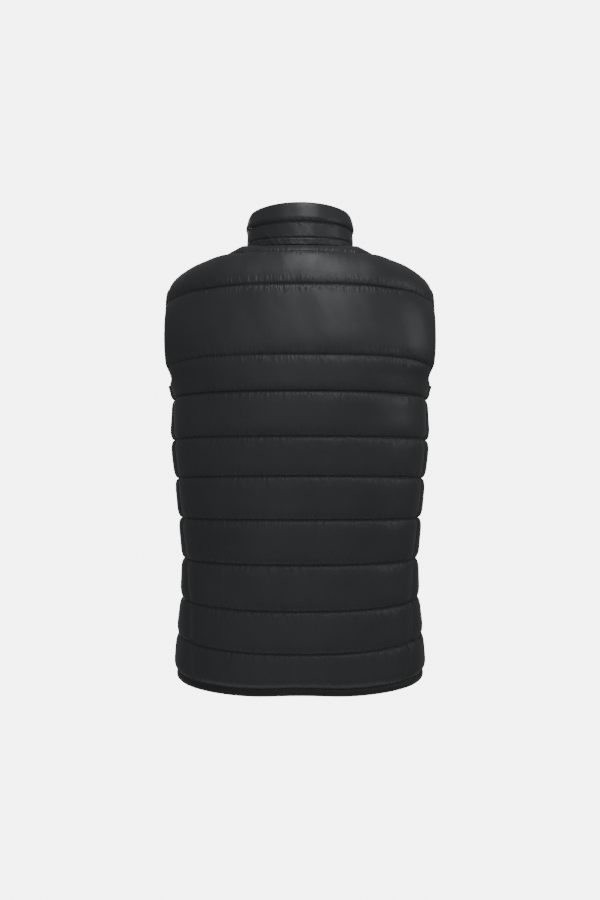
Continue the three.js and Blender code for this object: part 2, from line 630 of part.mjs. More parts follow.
// The slider straddles the chain on the upright part of the collar.
const chainFace = collar[COLLAR_KEPT[3]][collarEnd].inner.y - ZIP.over;
const plateFace = chainFace - SEAM_GAP - SLIDER.plate;
function sliderBody() {
  const flangeFoot = chainFace + ZIP.over; // the flanges end over the tape
  const flange = (x) =>
    boxBetween(
      point(Math.min(x, Math.sign(x) * SLIDER.halfWidth), plateFace, SLIDER.z - SLIDER.halfHeight),
      point(Math.max(x, Math.sign(x) * SLIDER.halfWidth), flangeFoot, SLIDER.z + SLIDER.halfHeight),
    );
  const plate = boxBetween(
    point(-SLIDER.halfWidth, plateFace, SLIDER.z - SLIDER.halfHeight),
    point(SLIDER.halfWidth, plateFace + SLIDER.plate, SLIDER.z + SLIDER.halfHeight),
  );
  const overlap = 0.4;
  const archTop = plateFace - BRIDGE.gap - BRIDGE.bar;
  const foot = (z) =>
    boxBetween(
      point(-BRIDGE.halfWidth, archTop, SLIDER.z + z - BRIDGE.footHalf),
      point(BRIDGE.halfWidth, plateFace + overlap, SLIDER.z + z + BRIDGE.footHalf),
    );
  const bar = boxBetween(
    point(-BRIDGE.halfWidth, archTop, SLIDER.z - BRIDGE.foot - BRIDGE.footHalf),
    point(BRIDGE.halfWidth, archTop + BRIDGE.bar, SLIDER.z + BRIDGE.foot + BRIDGE.footHalf),
  );
  const flanges = [flange(SLIDER.channel), flange(-SLIDER.channel)];
  return joined(plate, ...flanges, foot(BRIDGE.foot), foot(-BRIDGE.foot), bar);
}
addPiece("zip_slider", sliderBody(), lacquer);

// The pull tab: a ring whose pin passes under the bridge, and a tongue below it.
const PIN = point(0, plateFace - BRIDGE.gap / 2, SLIDER.z + PULL.pinZ);
function pullTab() {
  const half = PULL.thickness / 2;
  const outline = new THREE.Shape();
  outline.moveTo(-PULL.ringHalf, half);
  outline.lineTo(PULL.ringHalf, half);
  outline.lineTo(PULL.ringHalf, -PULL.holeLength);
  outline.lineTo(TONGUE.half, -PULL.holeLength - TONGUE.flare);
  outline.lineTo(TONGUE.half, TONGUE.corner - TONGUE.length);
  outline.quadraticCurveTo(TONGUE.half, -TONGUE.length, TONGUE.half - TONGUE.corner, -TONGUE.length);
  outline.lineTo(TONGUE.corner - TONGUE.half, -TONGUE.length);
  outline.quadraticCurveTo(-TONGUE.half, -TONGUE.length, -TONGUE.half, TONGUE.corner - TONGUE.length);
  outline.lineTo(-TONGUE.half, -PULL.holeLength - TONGUE.flare);
  outline.lineTo(-PULL.ringHalf, -PULL.holeLength);
  const hole = new THREE.Path();
  hole.moveTo(-PULL.holeHalf, -half);
  hole.lineTo(-PULL.holeHalf, half - PULL.holeLength);
  hole.lineTo(PULL.holeHalf, half - PULL.holeLength);
  hole.lineTo(PULL.holeHalf, -half);
  outline.holes.push(hole);
  const geometry = new THREE.ExtrudeGeometry(outline, {
    depth: PULL.thickness,
    bevelEnabled: false,
    curveSegments: 4,
  });
  geometry.translate(0, 0, -half);
  geometry.rotateX(Math.PI / 2);
  return geometry;
}
const pull = addPiece("zip_pull", pullTab(), lacquer);
pull.position.copy(PIN);

export default vest;
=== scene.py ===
"""The quilted vest in soft studio light, filled out as when worn and seen from behind."""

import math

import bpy
import numpy as np
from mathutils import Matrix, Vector


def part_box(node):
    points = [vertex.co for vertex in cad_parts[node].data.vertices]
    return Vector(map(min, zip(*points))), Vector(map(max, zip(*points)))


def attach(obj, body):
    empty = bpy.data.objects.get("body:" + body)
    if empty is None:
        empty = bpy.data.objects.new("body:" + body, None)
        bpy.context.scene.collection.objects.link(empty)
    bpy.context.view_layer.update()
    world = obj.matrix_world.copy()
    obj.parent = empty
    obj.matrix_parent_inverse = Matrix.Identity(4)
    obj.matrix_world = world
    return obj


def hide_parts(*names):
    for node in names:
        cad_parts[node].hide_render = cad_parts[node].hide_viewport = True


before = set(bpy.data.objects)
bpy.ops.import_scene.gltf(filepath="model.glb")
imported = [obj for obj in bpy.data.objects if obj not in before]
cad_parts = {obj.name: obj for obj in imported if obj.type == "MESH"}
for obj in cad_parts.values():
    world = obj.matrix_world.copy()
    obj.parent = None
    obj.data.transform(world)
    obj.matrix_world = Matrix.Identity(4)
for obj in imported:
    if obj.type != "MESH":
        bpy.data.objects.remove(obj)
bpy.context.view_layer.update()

# The cut and the form of the vest, the same as the solids have, in millimetres.
# The front faces -Y, and the wearer's left is +X.
MM = 0.001
SEAM_THICKNESS = 3.0
LOFT = 8.5
FULL_BAND = 62.0
SEAM_GAP = 0.3
ZIP_EDGE_X = 8.0

NECK = {"halfWidth": 79, "midY": -6, "backReach": 72, "frontReach": 87}
NECK_Z = {"shoulder": -9, "backDrop": 9, "frontDrop": 76, "frontPower": 2.1}
SHOULDER = {"length": 116, "tipY": -4, "drop": 59, "dip": 3}
NECK_SHARE = 0.3
COLLAR = {"backTop": 50, "sideTop": 48.5, "frontTop": -22, "frontPower": 1.85, "seamGap": 0.7}
COLLAR_INSET = {"depth": 7.5, "share": 1.0, "straightFrom": 150}
COLLAR_LINES = [0, 0.18, 0.53, 1]
COLLAR_LINE_DEPTH = [3.2, 6.4, 8.8, 4.5]  # its thickness at the neckline, at its two lines and at the top
COLLAR_SWELL = [2.0, 0.9, 4.9]  # and how much its bands stand out from there
COLLAR_TOP = {"thickness": 4.5, "edgePower": 6, "footSteepness": 4.5, "footPower": 0.6}

# One row for each quilting line, from the hem up.
LEVEL_COLUMNS = ("backZ", "sideZ", "frontZ", "halfWidth", "backY", "frontY", "seam")
LEVELS = [
    (-661.7, -648, -633, 181, 110, -122, 54),
    (-612, -595, -585, 177, 107, -120, 57),
    (-553, -541, -533, 171.5, 103, -118, 64),
    (-487.7, -482.6, -478, 170, 102, -117, 71),
    (-423.4, -421.5, -419, 175.5, 105, -119, 73),
    (-361.2, -362.4, -362, 181.5, 110, -122, 74),
    (-305, -305, -306, 187.5, 115, -125, 73),
    (-241.5, -243, -246, 187.5, 118, -126, 78),
    (-190.4, -191.5, -194, 207, 118, -125, 82),
    (-87.7, -96, -118, 214, 104, -110, 82),
]
RING_POWER = 2.4
TOP_RING_SHIFT = {"back": -40, "front": 30}
ARMHOLE_START = 0.5
ARMHOLE_ANGLE = 82.0
ARMHOLE_EDGES = {"back": (68, 66), "front": (110, 114)}
YOKE_Z = {"back": -33, "front": -62}
YOKE_LIMIT = 0.94
CENTRE_ROLL = {"back": 0.35, "front": 0.25}
FULL_ROLL_FROM = 0.52  # eased in here over a little more than in the solids, so that no crease shows
FOOT_EASE = 1.8  # under the armhole the width opens late, so that the armhole's foot is drawn in
TOP_LEVEL = len(LEVELS) + 1
CORNER_SPREAD = 0.07
MITRE_REACH = 24.0
UPPER_EASE = 2.0
CREST_POWER = 5.0  # fuller beside the lines than the solids, which have few rows there
LINE_FLOOR = 0.5  # the share of the swell that's left right at a quilting line
LINE_NOTCH = {"depth": 1.9, "width": 1.2}  # the narrow dent that the stitches pull into it

# Finer form, which only the scene has.
LINE_DIPS = {"back": [(9, 0.105), (8, 0.09)], "front": [(9, 0.05), (8, 0.04)]}
HEM_RISE = 0.055
GATHER_DEPTH = 1.4  # the creases that run out from a quilting line
GATHER_PITCH = (3.4, 6.6)
GATHER_LENGTH = (5.0, 19.0)
UNDULATION = 0.22  # broad unevenness of the filling
SIMULATED_SPACING = 3.4  # between two rows of the cloth that's simulated
FOLD_LIMIT = 1.2  # how far a simulated fold may stand from the even form
FOLD_SHARE = 0.1
LINING_LOFT = 2.2  # how far the inner cloth swells between two lines
COLUMN_SPACING = 1.5  # between two points of the mesh along a band
BESIDE_LINE = [0.8, 1.6, 2.6, 4.0, 6.0, 8.5]  # the first rows of points beside a quilting line
BAND_HEIGHTS = [54, 59, 65, 64, 62, 56, 63, 56, 103, 60, 26]  # about, to space the rows of points in a band
SIDE_PINCH = {"floor": 0.42, "width": 24}  # how a band's swell falls off to the side seam,
ARMHOLE_PINCH = {"floor": 0.1, "width": 15}  # to the armhole
FRONT_PINCH = {"floor": 0.1, "width": 17}  # and to the front edge
COLLAR_PINCH = {"floor": 0.12, "width": 18}
SETTLING_FRAMES = 18
SEEDS = {"back": 11, "front_left": 23, "front_right": 37, "collar": 51}
STRIP_SEEDS = {"left": 61, "right": 62, "hem": 63}

COLUMN = {name: np.array(column, float) for name, column in zip(LEVEL_COLUMNS, zip(*LEVELS))}


def lerp(a, b, t):
    return a + (b - a) * t


def xyz(x, y, z):
    return np.stack(np.broadcast_arrays(x, y, z), axis=-1).astype(float)


def unit(v):
    return v / np.maximum(np.linalg.norm(v, axis=-1, keepdims=True), 1e-9)


def at_level(column, level):
    """A smooth curve through a column of the table, at any height between the lines."""
    values, knots, last = COLUMN[column], COLUMN["backZ"], len(LEVELS) - 1
    i = np.clip(np.floor(level).astype(int), 0, last - 1)

    def pick(table, k):
        return table[np.clip(k, 0, last)]

    def slope(k):
        rise = pick(values, k + 1) - pick(values, k - 1)
        return rise / (pick(knots, k + 1) - pick(knots, k - 1))

    t = level - i
    span = pick(knots, i + 1) - pick(knots, i)
    start = (2 * t**3 - 3 * t**2 + 1) * pick(values, i) + (t**3 - 2 * t**2 + t) * span * slope(i)
    end = (3 * t**2 - 2 * t**3) * pick(values, i + 1) + (t**3 - t**2) * span * slope(i + 1)
    return start + end


def edge_angle(side, level):
    """The angle at which a panel ends, down the side seam and round the armhole."""
    low, high = ARMHOLE_EDGES[side]
    start = 7 + ARMHOLE_START
    seam = np.interp(level, [*range(8), start], [*COLUMN["seam"][:8], ARMHOLE_ANGLE])
    t = np.clip((level - start) / (8 - start), 0, 1)
    curved = lerp(ARMHOLE_ANGLE, low, np.sqrt(1 - (1 - t) ** 2))
    upper = lerp(low, high, np.clip(level - 8, 0, 1))
    return np.where(level <= start, seam, np.where(level < 8, curved, upper))


def ring_point(level, angle):
    """A point of the ring at a level, from the centre back, 0, to the centre front, 180."""
    s, c = np.sin(np.radians(angle)), np.cos(np.radians(angle))
    bend = 2 / RING_POWER
    reach = np.where(c >= 0, at_level("backY", level), at_level("frontY", level))
    shift = np.where(c >= 0, TOP_RING_SHIFT["back"], TOP_RING_SHIFT["front"])
    mid = np.clip(level - 8, 0, 1) ** 2 * shift
    back_z, side_z, front_z = (at_level(k, level) for k in ("backZ", "sideZ", "frontZ"))
    waist = ((back_z + front_z) / 2 - side_z) / 2
    opening = np.where((level > 7) & (level < 8), 7 + np.clip(level - 7, 0, 1) ** FOOT_EASE, level)
    x = at_level("halfWidth", opening) * np.abs(s) ** bend * np.sign(s)
    y = mid + (reach - mid) * np.abs(c) ** bend
    z = side_z + waist + (back_z - front_z) / 2 * c + waist * np.cos(2 * np.radians(angle))
    return xyz(x, y, z)


def ring_out(level, angle):
    around = ring_point(level, angle + 1) - ring_point(level, angle - 1)
    up = ring_point(level + 0.01, angle) - ring_point(level - 0.01, angle)
    return unit(np.cross(up, around))


def neck_point(angle):
    """The neckline seam, from the centre back, 0, to the centre front, 180."""
    s, c = np.sin(np.radians(angle)), np.cos(np.radians(angle))
    reach = np.where(c >= 0, NECK["backReach"], NECK["frontReach"])
    front_drop = NECK_Z["frontDrop"] * np.abs(c) ** NECK_Z["frontPower"]
    drop = np.where(c >= 0, NECK_Z["backDrop"] * c * c, front_drop)
    return xyz(NECK["halfWidth"] * s, NECK["midY"] + reach * c, NECK_Z["shoulder"] - drop)


NECK_FRONT_ANGLE = 180 - math.degrees(math.asin(ZIP_EDGE_X / NECK["halfWidth"]))


def neck_angle(side, across):
    share = np.clip(across / NECK_SHARE, 0, 1)
    return lerp(0 if side == "back" else NECK_FRONT_ANGLE, 90, share)


def shoulder_point(share):
    x = NECK["halfWidth"] + SHOULDER["length"] * share
    y = lerp(NECK["midY"], SHOULDER["tipY"], share)
    z = NECK_Z["shoulder"] - SHOULDER["drop"] * share - SHOULDER["dip"] * np.sin(2 * np.pi * share)
    return xyz(x, y, z)


def roll_point(start, end, share, straightness):
    turn = share * np.pi / 2
    y = end[..., 1] + (start[..., 1] - end[..., 1]) * np.cos(turn)
    z = start[..., 2] + (end[..., 2] - start[..., 2]) * np.sin(turn)
    x = lerp(start[..., 0], end[..., 0], share)
    y = lerp(y, lerp(start[..., 1], end[..., 1], share), straightness)
    z = lerp(z, lerp(start[..., 2], end[..., 2], share), straightness)
    return xyz(x, y, z)


def yoke_share(start, end, straightness, yoke_z):
    """Where the roll reaches the yoke line's height, or just short of its end where it never does."""
    low, high = np.zeros(start.shape[:-1]), np.full(start.shape[:-1], 1.5)
    for _ in range(24):
        middle = (low + high) / 2
        below = (roll_point(start, end, middle, straightness)[..., 2] < yoke_z) & (middle < 1)
        low, high = np.where(below, middle, low), np.where(below, high, middle)
    return (np.maximum(low, 1e-6) ** -9 + YOKE_LIMIT**-9) ** (-1 / 9)


def front_start(level):
    share = ZIP_EDGE_X / at_level("halfWidth", level)
    return np.degrees(np.arcsin(share ** (RING_POWER / 2)))


def panel_angle(side, across, level):
    first = 0 if side == "back" else 180 - front_start(level)
    even = lerp(first, edge_angle(side, level), across)
    # Round the foot of the armhole the columns turn close to the edge, and not all over the band.
    near_edge = lerp(first, ARMHOLE_ANGLE, across) + (edge_angle(side, level) - ARMHOLE_ANGLE) * across**4
    weight = np.clip((9 - level) / 0.9, 0, 1)
    weight = weight * weight * (3 - 2 * weight)
    return np.where(level < 7 + ARMHOLE_START, even, lerp(even, near_edge, weight))


def upper_edge(side, out_to):
    """A panel's upper edge: the neckline as far as the neck's side, then the shoulder seam."""
    on_neck = neck_point(neck_angle(side, out_to))
    on_shoulder = shoulder_point((out_to - NECK_SHARE) / (1 - NECK_SHARE))
    return np.where((out_to < NECK_SHARE)[..., None], on_neck, on_shoulder)


def panel_inner(side, across, level):
    """The inner face of the back or the left front, from its centre or front edge, 0, to its side, 1."""
    across, level = np.broadcast_arrays(np.asarray(across, float), np.asarray(level, float))
    out_to = np.abs(across)
    ring_level = np.minimum(level, 9.0)
    base = ring_point(ring_level, panel_angle(side, out_to, ring_level))
    end = upper_edge(side, out_to)
    eased = np.minimum(out_to / FULL_ROLL_FROM, 1)
    straightness = (1 - CENTRE_ROLL[side]) * (1 - eased * eased * (3 - 2 * eased))
    yoke = yoke_share(base, end, straightness, YOKE_Z[side])
    up = level - 9
    share = np.where(up <= 1, yoke * up, yoke + (1 - yoke) * (up - 1))
    # Below the upper edge the corner between neckline and shoulder seam is rounded off.
    spread = [upper_edge(side, np.abs(out_to + CORNER_SPREAD * k)) for k in (-1, -0.5, 0, 0.5, 1)]
    spread = np.mean(spread, axis=0)
    spread[..., 0] = lerp(spread[..., 0], end[..., 0], np.clip(1 - out_to / CORNER_SPREAD, 0, 1))
    mixed = lerp(spread, end, np.maximum(share**2, np.clip((out_to - 0.85) / 0.1, 0, 1))[..., None])
    rolled = roll_point(base, mixed, share, straightness)
    p = np.where((level <= 9)[..., None], base, rolled)
    p[..., 0] *= np.where(across < 0, -1, 1)
    return p


def collar_out(angle):
    return xyz(np.sin(np.radians(angle)), np.cos(np.radians(angle)), 0.0)


def neck_mitre(angle):
    """The direction in which both sides of the neckline seam stand."""
    panels = []
    for side in ("back", "front"):
        first = 0 if side == "back" else NECK_FRONT_ANGLE
        across = np.clip((angle - first) / (90 - first) * NECK_SHARE, 0, NECK_SHARE)
        panels.append(surface_out(side, across, np.full(np.shape(angle), float(TOP_LEVEL))))
    panel = np.where((angle <= 90)[..., None], panels[0], panels[1])
    return unit(panel + collar_out(angle))


def shoulder_mitre(share):
    along = shoulder_point(share + 0.01) - shoulder_point(share - 0.01)
    return unit(xyz(-along[..., 2], 0.0, along[..., 0]))


def surface_out(side, across, level):
    """The direction out of the cloth on the wearer's left, from two short steps along it."""
    step = 0.004
    low = np.minimum(level, TOP_LEVEL - step)
    across_step = panel_inner(side, across + step, low) - panel_inner(side, across - step, low)
    level_step = panel_inner(side, across, low + step) - panel_inner(side, across, low - step)
    return unit(np.cross(across_step, level_step)) * (-1 if side == "back" else 1)


def panel_out(side, across, level):
    """The direction out of the cloth, turned to the seam's own direction close to the upper edge."""
    out_to = np.abs(across)
    ring_level = np.minimum(level, 9.0)
    ring = ring_out(ring_level, panel_angle(side, out_to, ring_level))
    n = np.where((level < 9)[..., None], ring, surface_out(side, out_to, level))
    mitre = np.where(
        (out_to <= NECK_SHARE)[..., None],
        neck_mitre(neck_angle(side, out_to)),
        shoulder_mitre((out_to - NECK_SHARE) / (1 - NECK_SHARE)),
    )
    top = panel_inner(side, out_to, np.full_like(level, float(TOP_LEVEL)))
    to_edge = np.linalg.norm(panel_inner(side, out_to, level) - top, axis=-1)
    turned = np.clip(to_edge / MITRE_REACH, 0, 1)[..., None]
    n = unit(lerp(mitre, n, turned))
    n[..., 0] *= np.where(across < 0, -1, 1)
    return n


def swell(t):
    return 1 - np.abs(2 * t - 1) ** CREST_POWER


def pinch_at(distance, floor, width):
    """Beside an edge the swell falls to the edge's own share, the floor, over a stated width."""
    return lerp(floor, 1, np.sqrt(1 - (1 - np.clip(distance / width, 0, 1)) ** 2))


# The quilted panels.
def line_shift(side, across, level):
    """How far, in levels, a row lies above its even height: lines dip at the sides, the hem rises behind."""
    beside = np.clip((np.abs(across) - 0.35) / 0.65, 0, 1) ** 1.6
    shift = np.zeros_like(level)
    for line, dip in LINE_DIPS[side]:
        shift -= dip * beside * np.clip(1 - np.abs(level - line), 0, 1)
    if side == "back":
        shift += HEM_RISE * np.exp(-((across / 0.22) ** 2)) * np.clip(1 - level, 0, 1)
    return shift


def band_rows():
    """The heights of a panel's rows, closest together beside the lines, and the row of each line."""
    levels, line_rows = [], []
    for band, height in enumerate(BAND_HEIGHTS):
        line_rows.append(len(levels))
        beside = np.array([d for d in BESIDE_LINE if d < height * 0.3]) / height
        inner_rows = max(3, int((height * (1 - 2 * beside[-1])) / 3.6))
        between = np.linspace(beside[-1], 1 - beside[-1], inner_rows + 1)
        steps = np.concatenate([[0], beside, between[1:-1], 1 - beside[::-1]])
        if band == 7:
            turn = np.linspace(0, np.pi / 2, 15)
            upper = 1 - (1 - ARMHOLE_START) * np.cos(turn)
            steps = np.concatenate([steps[steps < ARMHOLE_START - 0.01], upper[:-1]])
        levels.extend(band + steps)
    line_rows.append(len(levels))
    levels.append(TOP_LEVEL)
    return np.array(levels, float), line_rows


def lengths_along(points, axis):
    steps = np.linalg.norm(np.diff(points, axis=axis), axis=-1)
    start = np.zeros_like(np.take(steps, [0], axis=axis))
    return np.concatenate([start, np.cumsum(steps, axis=axis)], axis=axis)


def along_line(places, distance, points):
    """Points, or directions, at stated distances along a line."""
    return np.stack([np.interp(places, distance, points[:, k]) for k in range(3)], -1)


def gather_field(rng, along, away, depth, pitch=GATHER_PITCH, length=GATHER_LENGTH):
    """Narrow creases that run out from a seam: along and away are distances from its start and from it."""
    field = np.zeros_like(away)
    place = along.min() - rng.uniform(0, pitch[1])
    while place < along.max():
        place += rng.uniform(*pitch)
        width = rng.uniform(0.95, 1.7)
        reach = rng.uniform(*length) * rng.uniform(0.5, 1)
        strength = depth * rng.uniform(0.35, 1.0)
        lean = rng.uniform(-0.12, 0.12)
        across = (along - place - lean * away) / (width * (1 + away / reach))
        fade = np.clip(1 - away / reach, 0, 1) ** 1.4 * np.clip(0.35 + away / 2.5, 0, 1)
        field -= strength * np.exp(-(across**2)) * fade
    return field


def smooth_noise(rng, along, waves, shortest, longest):
    total = np.zeros_like(along)
    for _ in range(waves):
        wave = rng.uniform(shortest, longest)
        total += np.sin(2 * np.pi * along / wave + rng.uniform(0, 2 * np.pi))
    return total / math.sqrt(waves)


def settle(points, held, swell):
    """Lets a grid of cloth blow out between its held points, and returns where it comes to rest."""
    rows, cols = held.shape
    index = np.arange(rows * cols).reshape(rows, cols)
    quads = np.stack([index[:-1, :-1], index[:-1, 1:], index[1:, 1:], index[1:, :-1]], axis=-1)
    mesh = bpy.data.meshes.new("settling_cloth")
    mesh.from_pydata((points.reshape(-1, 3) * MM).tolist(), [], quads.reshape(-1, 4).tolist())
    cloth_object = bpy.data.objects.new("settling_cloth", mesh)
    bpy.context.scene.collection.objects.link(cloth_object)
    pins = cloth_object.vertex_groups.new(name="held")
    pins.add(index[held].tolist(), 1.0, "REPLACE")
    cloth = cloth_object.modifiers.new("cloth", "CLOTH")
    settings = cloth.settings
    settings.quality = 4
    settings.mass = 0.12
    settings.tension_stiffness = 12
    settings.compression_stiffness = 6
    settings.shear_stiffness = 3
    settings.bending_stiffness = 0.02
    settings.tension_damping = 8
    settings.shear_damping = 8
    settings.air_damping = 3
    settings.vertex_group_mass = "held"
    settings.shrink_min = -swell
    settings.use_pressure = True
    settings.uniform_pressure_force = 2.5
    settings.effector_weights.gravity = 0
    cloth.collision_settings.use_collision = False
    cloth.point_cache.frame_start = 1
    cloth.point_cache.frame_end = SETTLING_FRAMES
    scene = bpy.context.scene
    for number in range(1, SETTLING_FRAMES + 1):
        scene.frame_set(number)
    settled = cloth_object.evaluated_get(bpy.context.evaluated_depsgraph_get())
    flat = np.empty(rows * cols * 3)
    settled.data.vertices.foreach_get("co", flat)
    result = flat.reshape(rows, cols, 3) / MM
    bpy.data.objects.remove(cloth_object)
    bpy.data.meshes.remove(mesh)
    scene.frame_set(1)
    return result


def blurred(field, rows, cols):
    """A moving average over a window of rows and columns."""
    for axis, width in ((0, rows), (1, cols)):
        pad = [(0, 0), (0, 0)]
        pad[axis] = (width + 1, width)
        total = np.cumsum(np.pad(field, pad, mode="edge"), axis=axis)
        count = field.shape[axis]
        high = np.take(total, np.arange(count) + 2 * width + 1, axis=axis)
        low = np.take(total, np.arange(count), axis=axis)
        field = (high - low) / (2 * width + 1)
    return field


def rim_pulled_in(inner, out):
    """Moves a grid's rim half a seam gap back from the seams."""
    shift = np.zeros_like(inner)

    def nudge(rim, neighbour, normal):
        d = neighbour - rim
        d = d - np.sum(d * normal, axis=-1, keepdims=True) * normal
        return unit(d) * SEAM_GAP / 2

    shift[0] += nudge(inner[0], inner[1], out[0])
    shift[-1] += nudge(inner[-1], inner[-2], out[-1])
    shift[:, -1] += nudge(inner[:, -1], inner[:, -2], out[:, -1])
    return shift


def quilted_panel(side, seed):
    """The grids of a panel on the wearer's left, or of the whole back: inner, outer, across, levels."""
    rng = np.random.default_rng(seed)
    levels, line_rows = band_rows()
    middle = panel_inner(side, np.linspace(0, 1, 200), np.full(200, 5.0))
    half = lengths_along(middle, 0)[-1]
    count = int(half / COLUMN_SPACING)
    by_neck = int(count * 0.34)
    beyond_neck = np.linspace(NECK_SHARE, 1, count - by_neck + 1)[1:]
    half_across = np.concatenate([np.linspace(0, NECK_SHARE, by_neck), beyond_neck])
    across = np.concatenate([-half_across[:0:-1], half_across]) if side == "back" else half_across
    a, l = np.meshgrid(across, levels)
    at = l + line_shift(side, a, l)
    inner = panel_inner(side, a, at)
    out = panel_out(side, a, at)
    lines = panel_inner(side, *np.meshgrid(across, np.arange(TOP_LEVEL + 1.0)))
    heights = np.linalg.norm(np.diff(lines, axis=0), axis=-1)
    band = np.minimum(np.floor(l + 1e-9).astype(int), TOP_LEVEL - 1)
    height = np.take_along_axis(heights, band, axis=0)
    t = l - band
    by_armhole = np.clip((l - 7.3) / 0.4, 0, 1)
    side_edge = [lerp(SIDE_PINCH[name], ARMHOLE_PINCH[name], by_armhole) for name in ("floor", "width")]
    edges = [(-1, *side_edge) if side == "back" else (0, *FRONT_PINCH.values()), (1, *side_edge)]
    pinch = np.ones_like(l)
    to_edges = []
    for place, floor, width in edges:
        distance = np.linalg.norm(inner - panel_inner(side, np.full_like(l, place), at), axis=-1)
        to_edges.append(distance)
        pinch = np.minimum(pinch, pinch_at(distance, floor, width))
    share = np.minimum(height / FULL_BAND, 1.2) ** 0.8
    floor = np.where((np.arange(TOP_LEVEL + 1) % TOP_LEVEL) > 0, LINE_FLOOR, 0.0)
    floor = lerp(floor[band], floor[band + 1], t * t * (3 - 2 * t))
    crown = (floor + (1 - floor) * swell(t)) * np.minimum(1, (TOP_LEVEL - l) * UPPER_EASE)
    rest = crown * share * pinch
    thickness = SEAM_THICKNESS + LOFT * rest
    along = lengths_along(inner, 1)
    if side == "back":
        along -= along[:, [len(across) // 2]]
    up = lengths_along(inner, 0)
    for row in line_rows[1:-1]:
        notch = LINE_NOTCH["depth"] * np.exp(-(((up - up[row]) / LINE_NOTCH["width"]) ** 2))
        thickness -= notch * np.clip(rest / 0.3, 0, 1)

    # Broad unevenness, different in each band.
    for number in range(TOP_LEVEL):
        rows = band[:, 0] == number
        wave = smooth_noise(rng, along[rows] + up[rows] * rng.uniform(-0.4, 0.4), 4, 38, 130)
        thickness[rows] += UNDULATION * wave * swell(t[rows]) * np.clip(rest[rows], 0, 1)

    # Creases that run up and down from each line, and in from the side seams and the front edge.
    creases = np.zeros_like(thickness)
    for number, row in enumerate(line_rows):
        away = np.abs(up - up[row])
        span = line_rows[max(number - 1, 0)], line_rows[min(number + 1, TOP_LEVEL)]
        for part in (slice(span[0], row), slice(row, span[1])):
            if part.stop > part.start:
                deep = GATHER_DEPTH * np.clip(height[part] / 45, 0.3, 1)
                creases[part] += deep * gather_field(rng, along[part], away[part], 1.0)
    for distance in to_edges:
        creases += gather_field(rng, up, distance, 0.55, (7, 15), (6, 16))
    creases *= np.clip(crown * 3.5 + 0.12, 0, 1)
    thickness += creases

    outer = inner + out * thickness[..., None]
    outer = with_settled_folds(inner, out, outer, thickness, line_rows, seed)
    outer += rim_pulled_in(inner, out)
    from_front = to_edges[0] if side == "front" else np.full_like(l, 99.0)
    inwards = LINING_LOFT * crown * np.clip((pinch - SIDE_PINCH["floor"]) / 0.5, 0, 1)
    inwards = inwards * np.clip((from_front - 24) / 20, 0, 1)
    inner = inner + rim_pulled_in(inner, out) - out * inwards[..., None]
    seam_away = from_nearest_line(up, line_rows[1:-1])
    grid = {"inner": inner, "outer": outer, "out": out, "line_rows": line_rows, "levels": levels}
    return {**grid, "seam_along": along, "seam_away": seam_away}


def with_settled_folds(inner, out, outer, thickness, line_rows, seed):
    """Adds the folds that the cloth takes as the filling blows it out between the lines."""
    rows, cols = thickness.shape
    heights = lengths_along(inner[:, cols // 2], 0)
    keep_rows = [0]
    for row in range(1, rows):
        if row in line_rows:
            if heights[row] - heights[keep_rows[-1]] < 1.8 and keep_rows[-1] not in line_rows:
                keep_rows.pop()
            keep_rows.append(row)
        elif heights[row] - heights[keep_rows[-1]] >= SIMULATED_SPACING:
            keep_rows.append(row)
    keep_rows = np.array(keep_rows)
    keep_cols = kept(cols, 2)
    pick = np.ix_(keep_rows, keep_cols)
    held = np.zeros((len(keep_rows), len(keep_cols)), bool)
    held[np.isin(keep_rows, line_rows)] = True
    held[:, [0, -1]] = True
    start = inner[pick] + out[pick] * (SEAM_THICKNESS + 0.75 * (thickness[pick] - SEAM_THICKNESS))[..., None]
    settled = settle(start, held, 0.02)
    moved = np.sum((settled - start) * out[pick], axis=-1)
    folds = FOLD_SHARE * np.tanh((moved - blurred(moved, 4, 12)) / FOLD_LIMIT) * FOLD_LIMIT
    folds[held] = 0
    full = np.empty((rows, cols))
    for c_index in range(len(keep_cols)):
        full[:, c_index] = np.interp(np.arange(rows), keep_rows, folds[:, c_index])
    wide = np.empty((rows, cols))
    for r_index in range(rows):
        wide[r_index] = np.interp(np.arange(cols), keep_cols, full[r_index, : len(keep_cols)])
    return outer + out * wide[..., None]


def collar_inner(angle, rise):
    """The inner face of the collar, from the neckline, 0, to its top, 1."""
    base = neck_point(angle)
    c = np.cos(np.radians(angle))
    side_top, back_top, front_top = COLLAR["sideTop"], COLLAR["backTop"], COLLAR["frontTop"]
    front = side_top - (side_top - front_top) * np.abs(c) ** COLLAR["frontPower"]
    top = np.where(c >= 0, lerp(side_top, back_top, c * c), front)
    t = np.clip(rise / COLLAR_INSET["share"], 0, 1)
    straight_from = COLLAR_INSET["straightFrom"]
    upright = np.clip((angle - straight_from) / (NECK_FRONT_ANGLE - straight_from), 0, 1)
    p = base - collar_out(angle) * (COLLAR_INSET["depth"] * t * (2 - t) * (1 - upright))[..., None]
    return xyz(p[..., 0], p[..., 1], lerp(base[..., 2], top, rise))


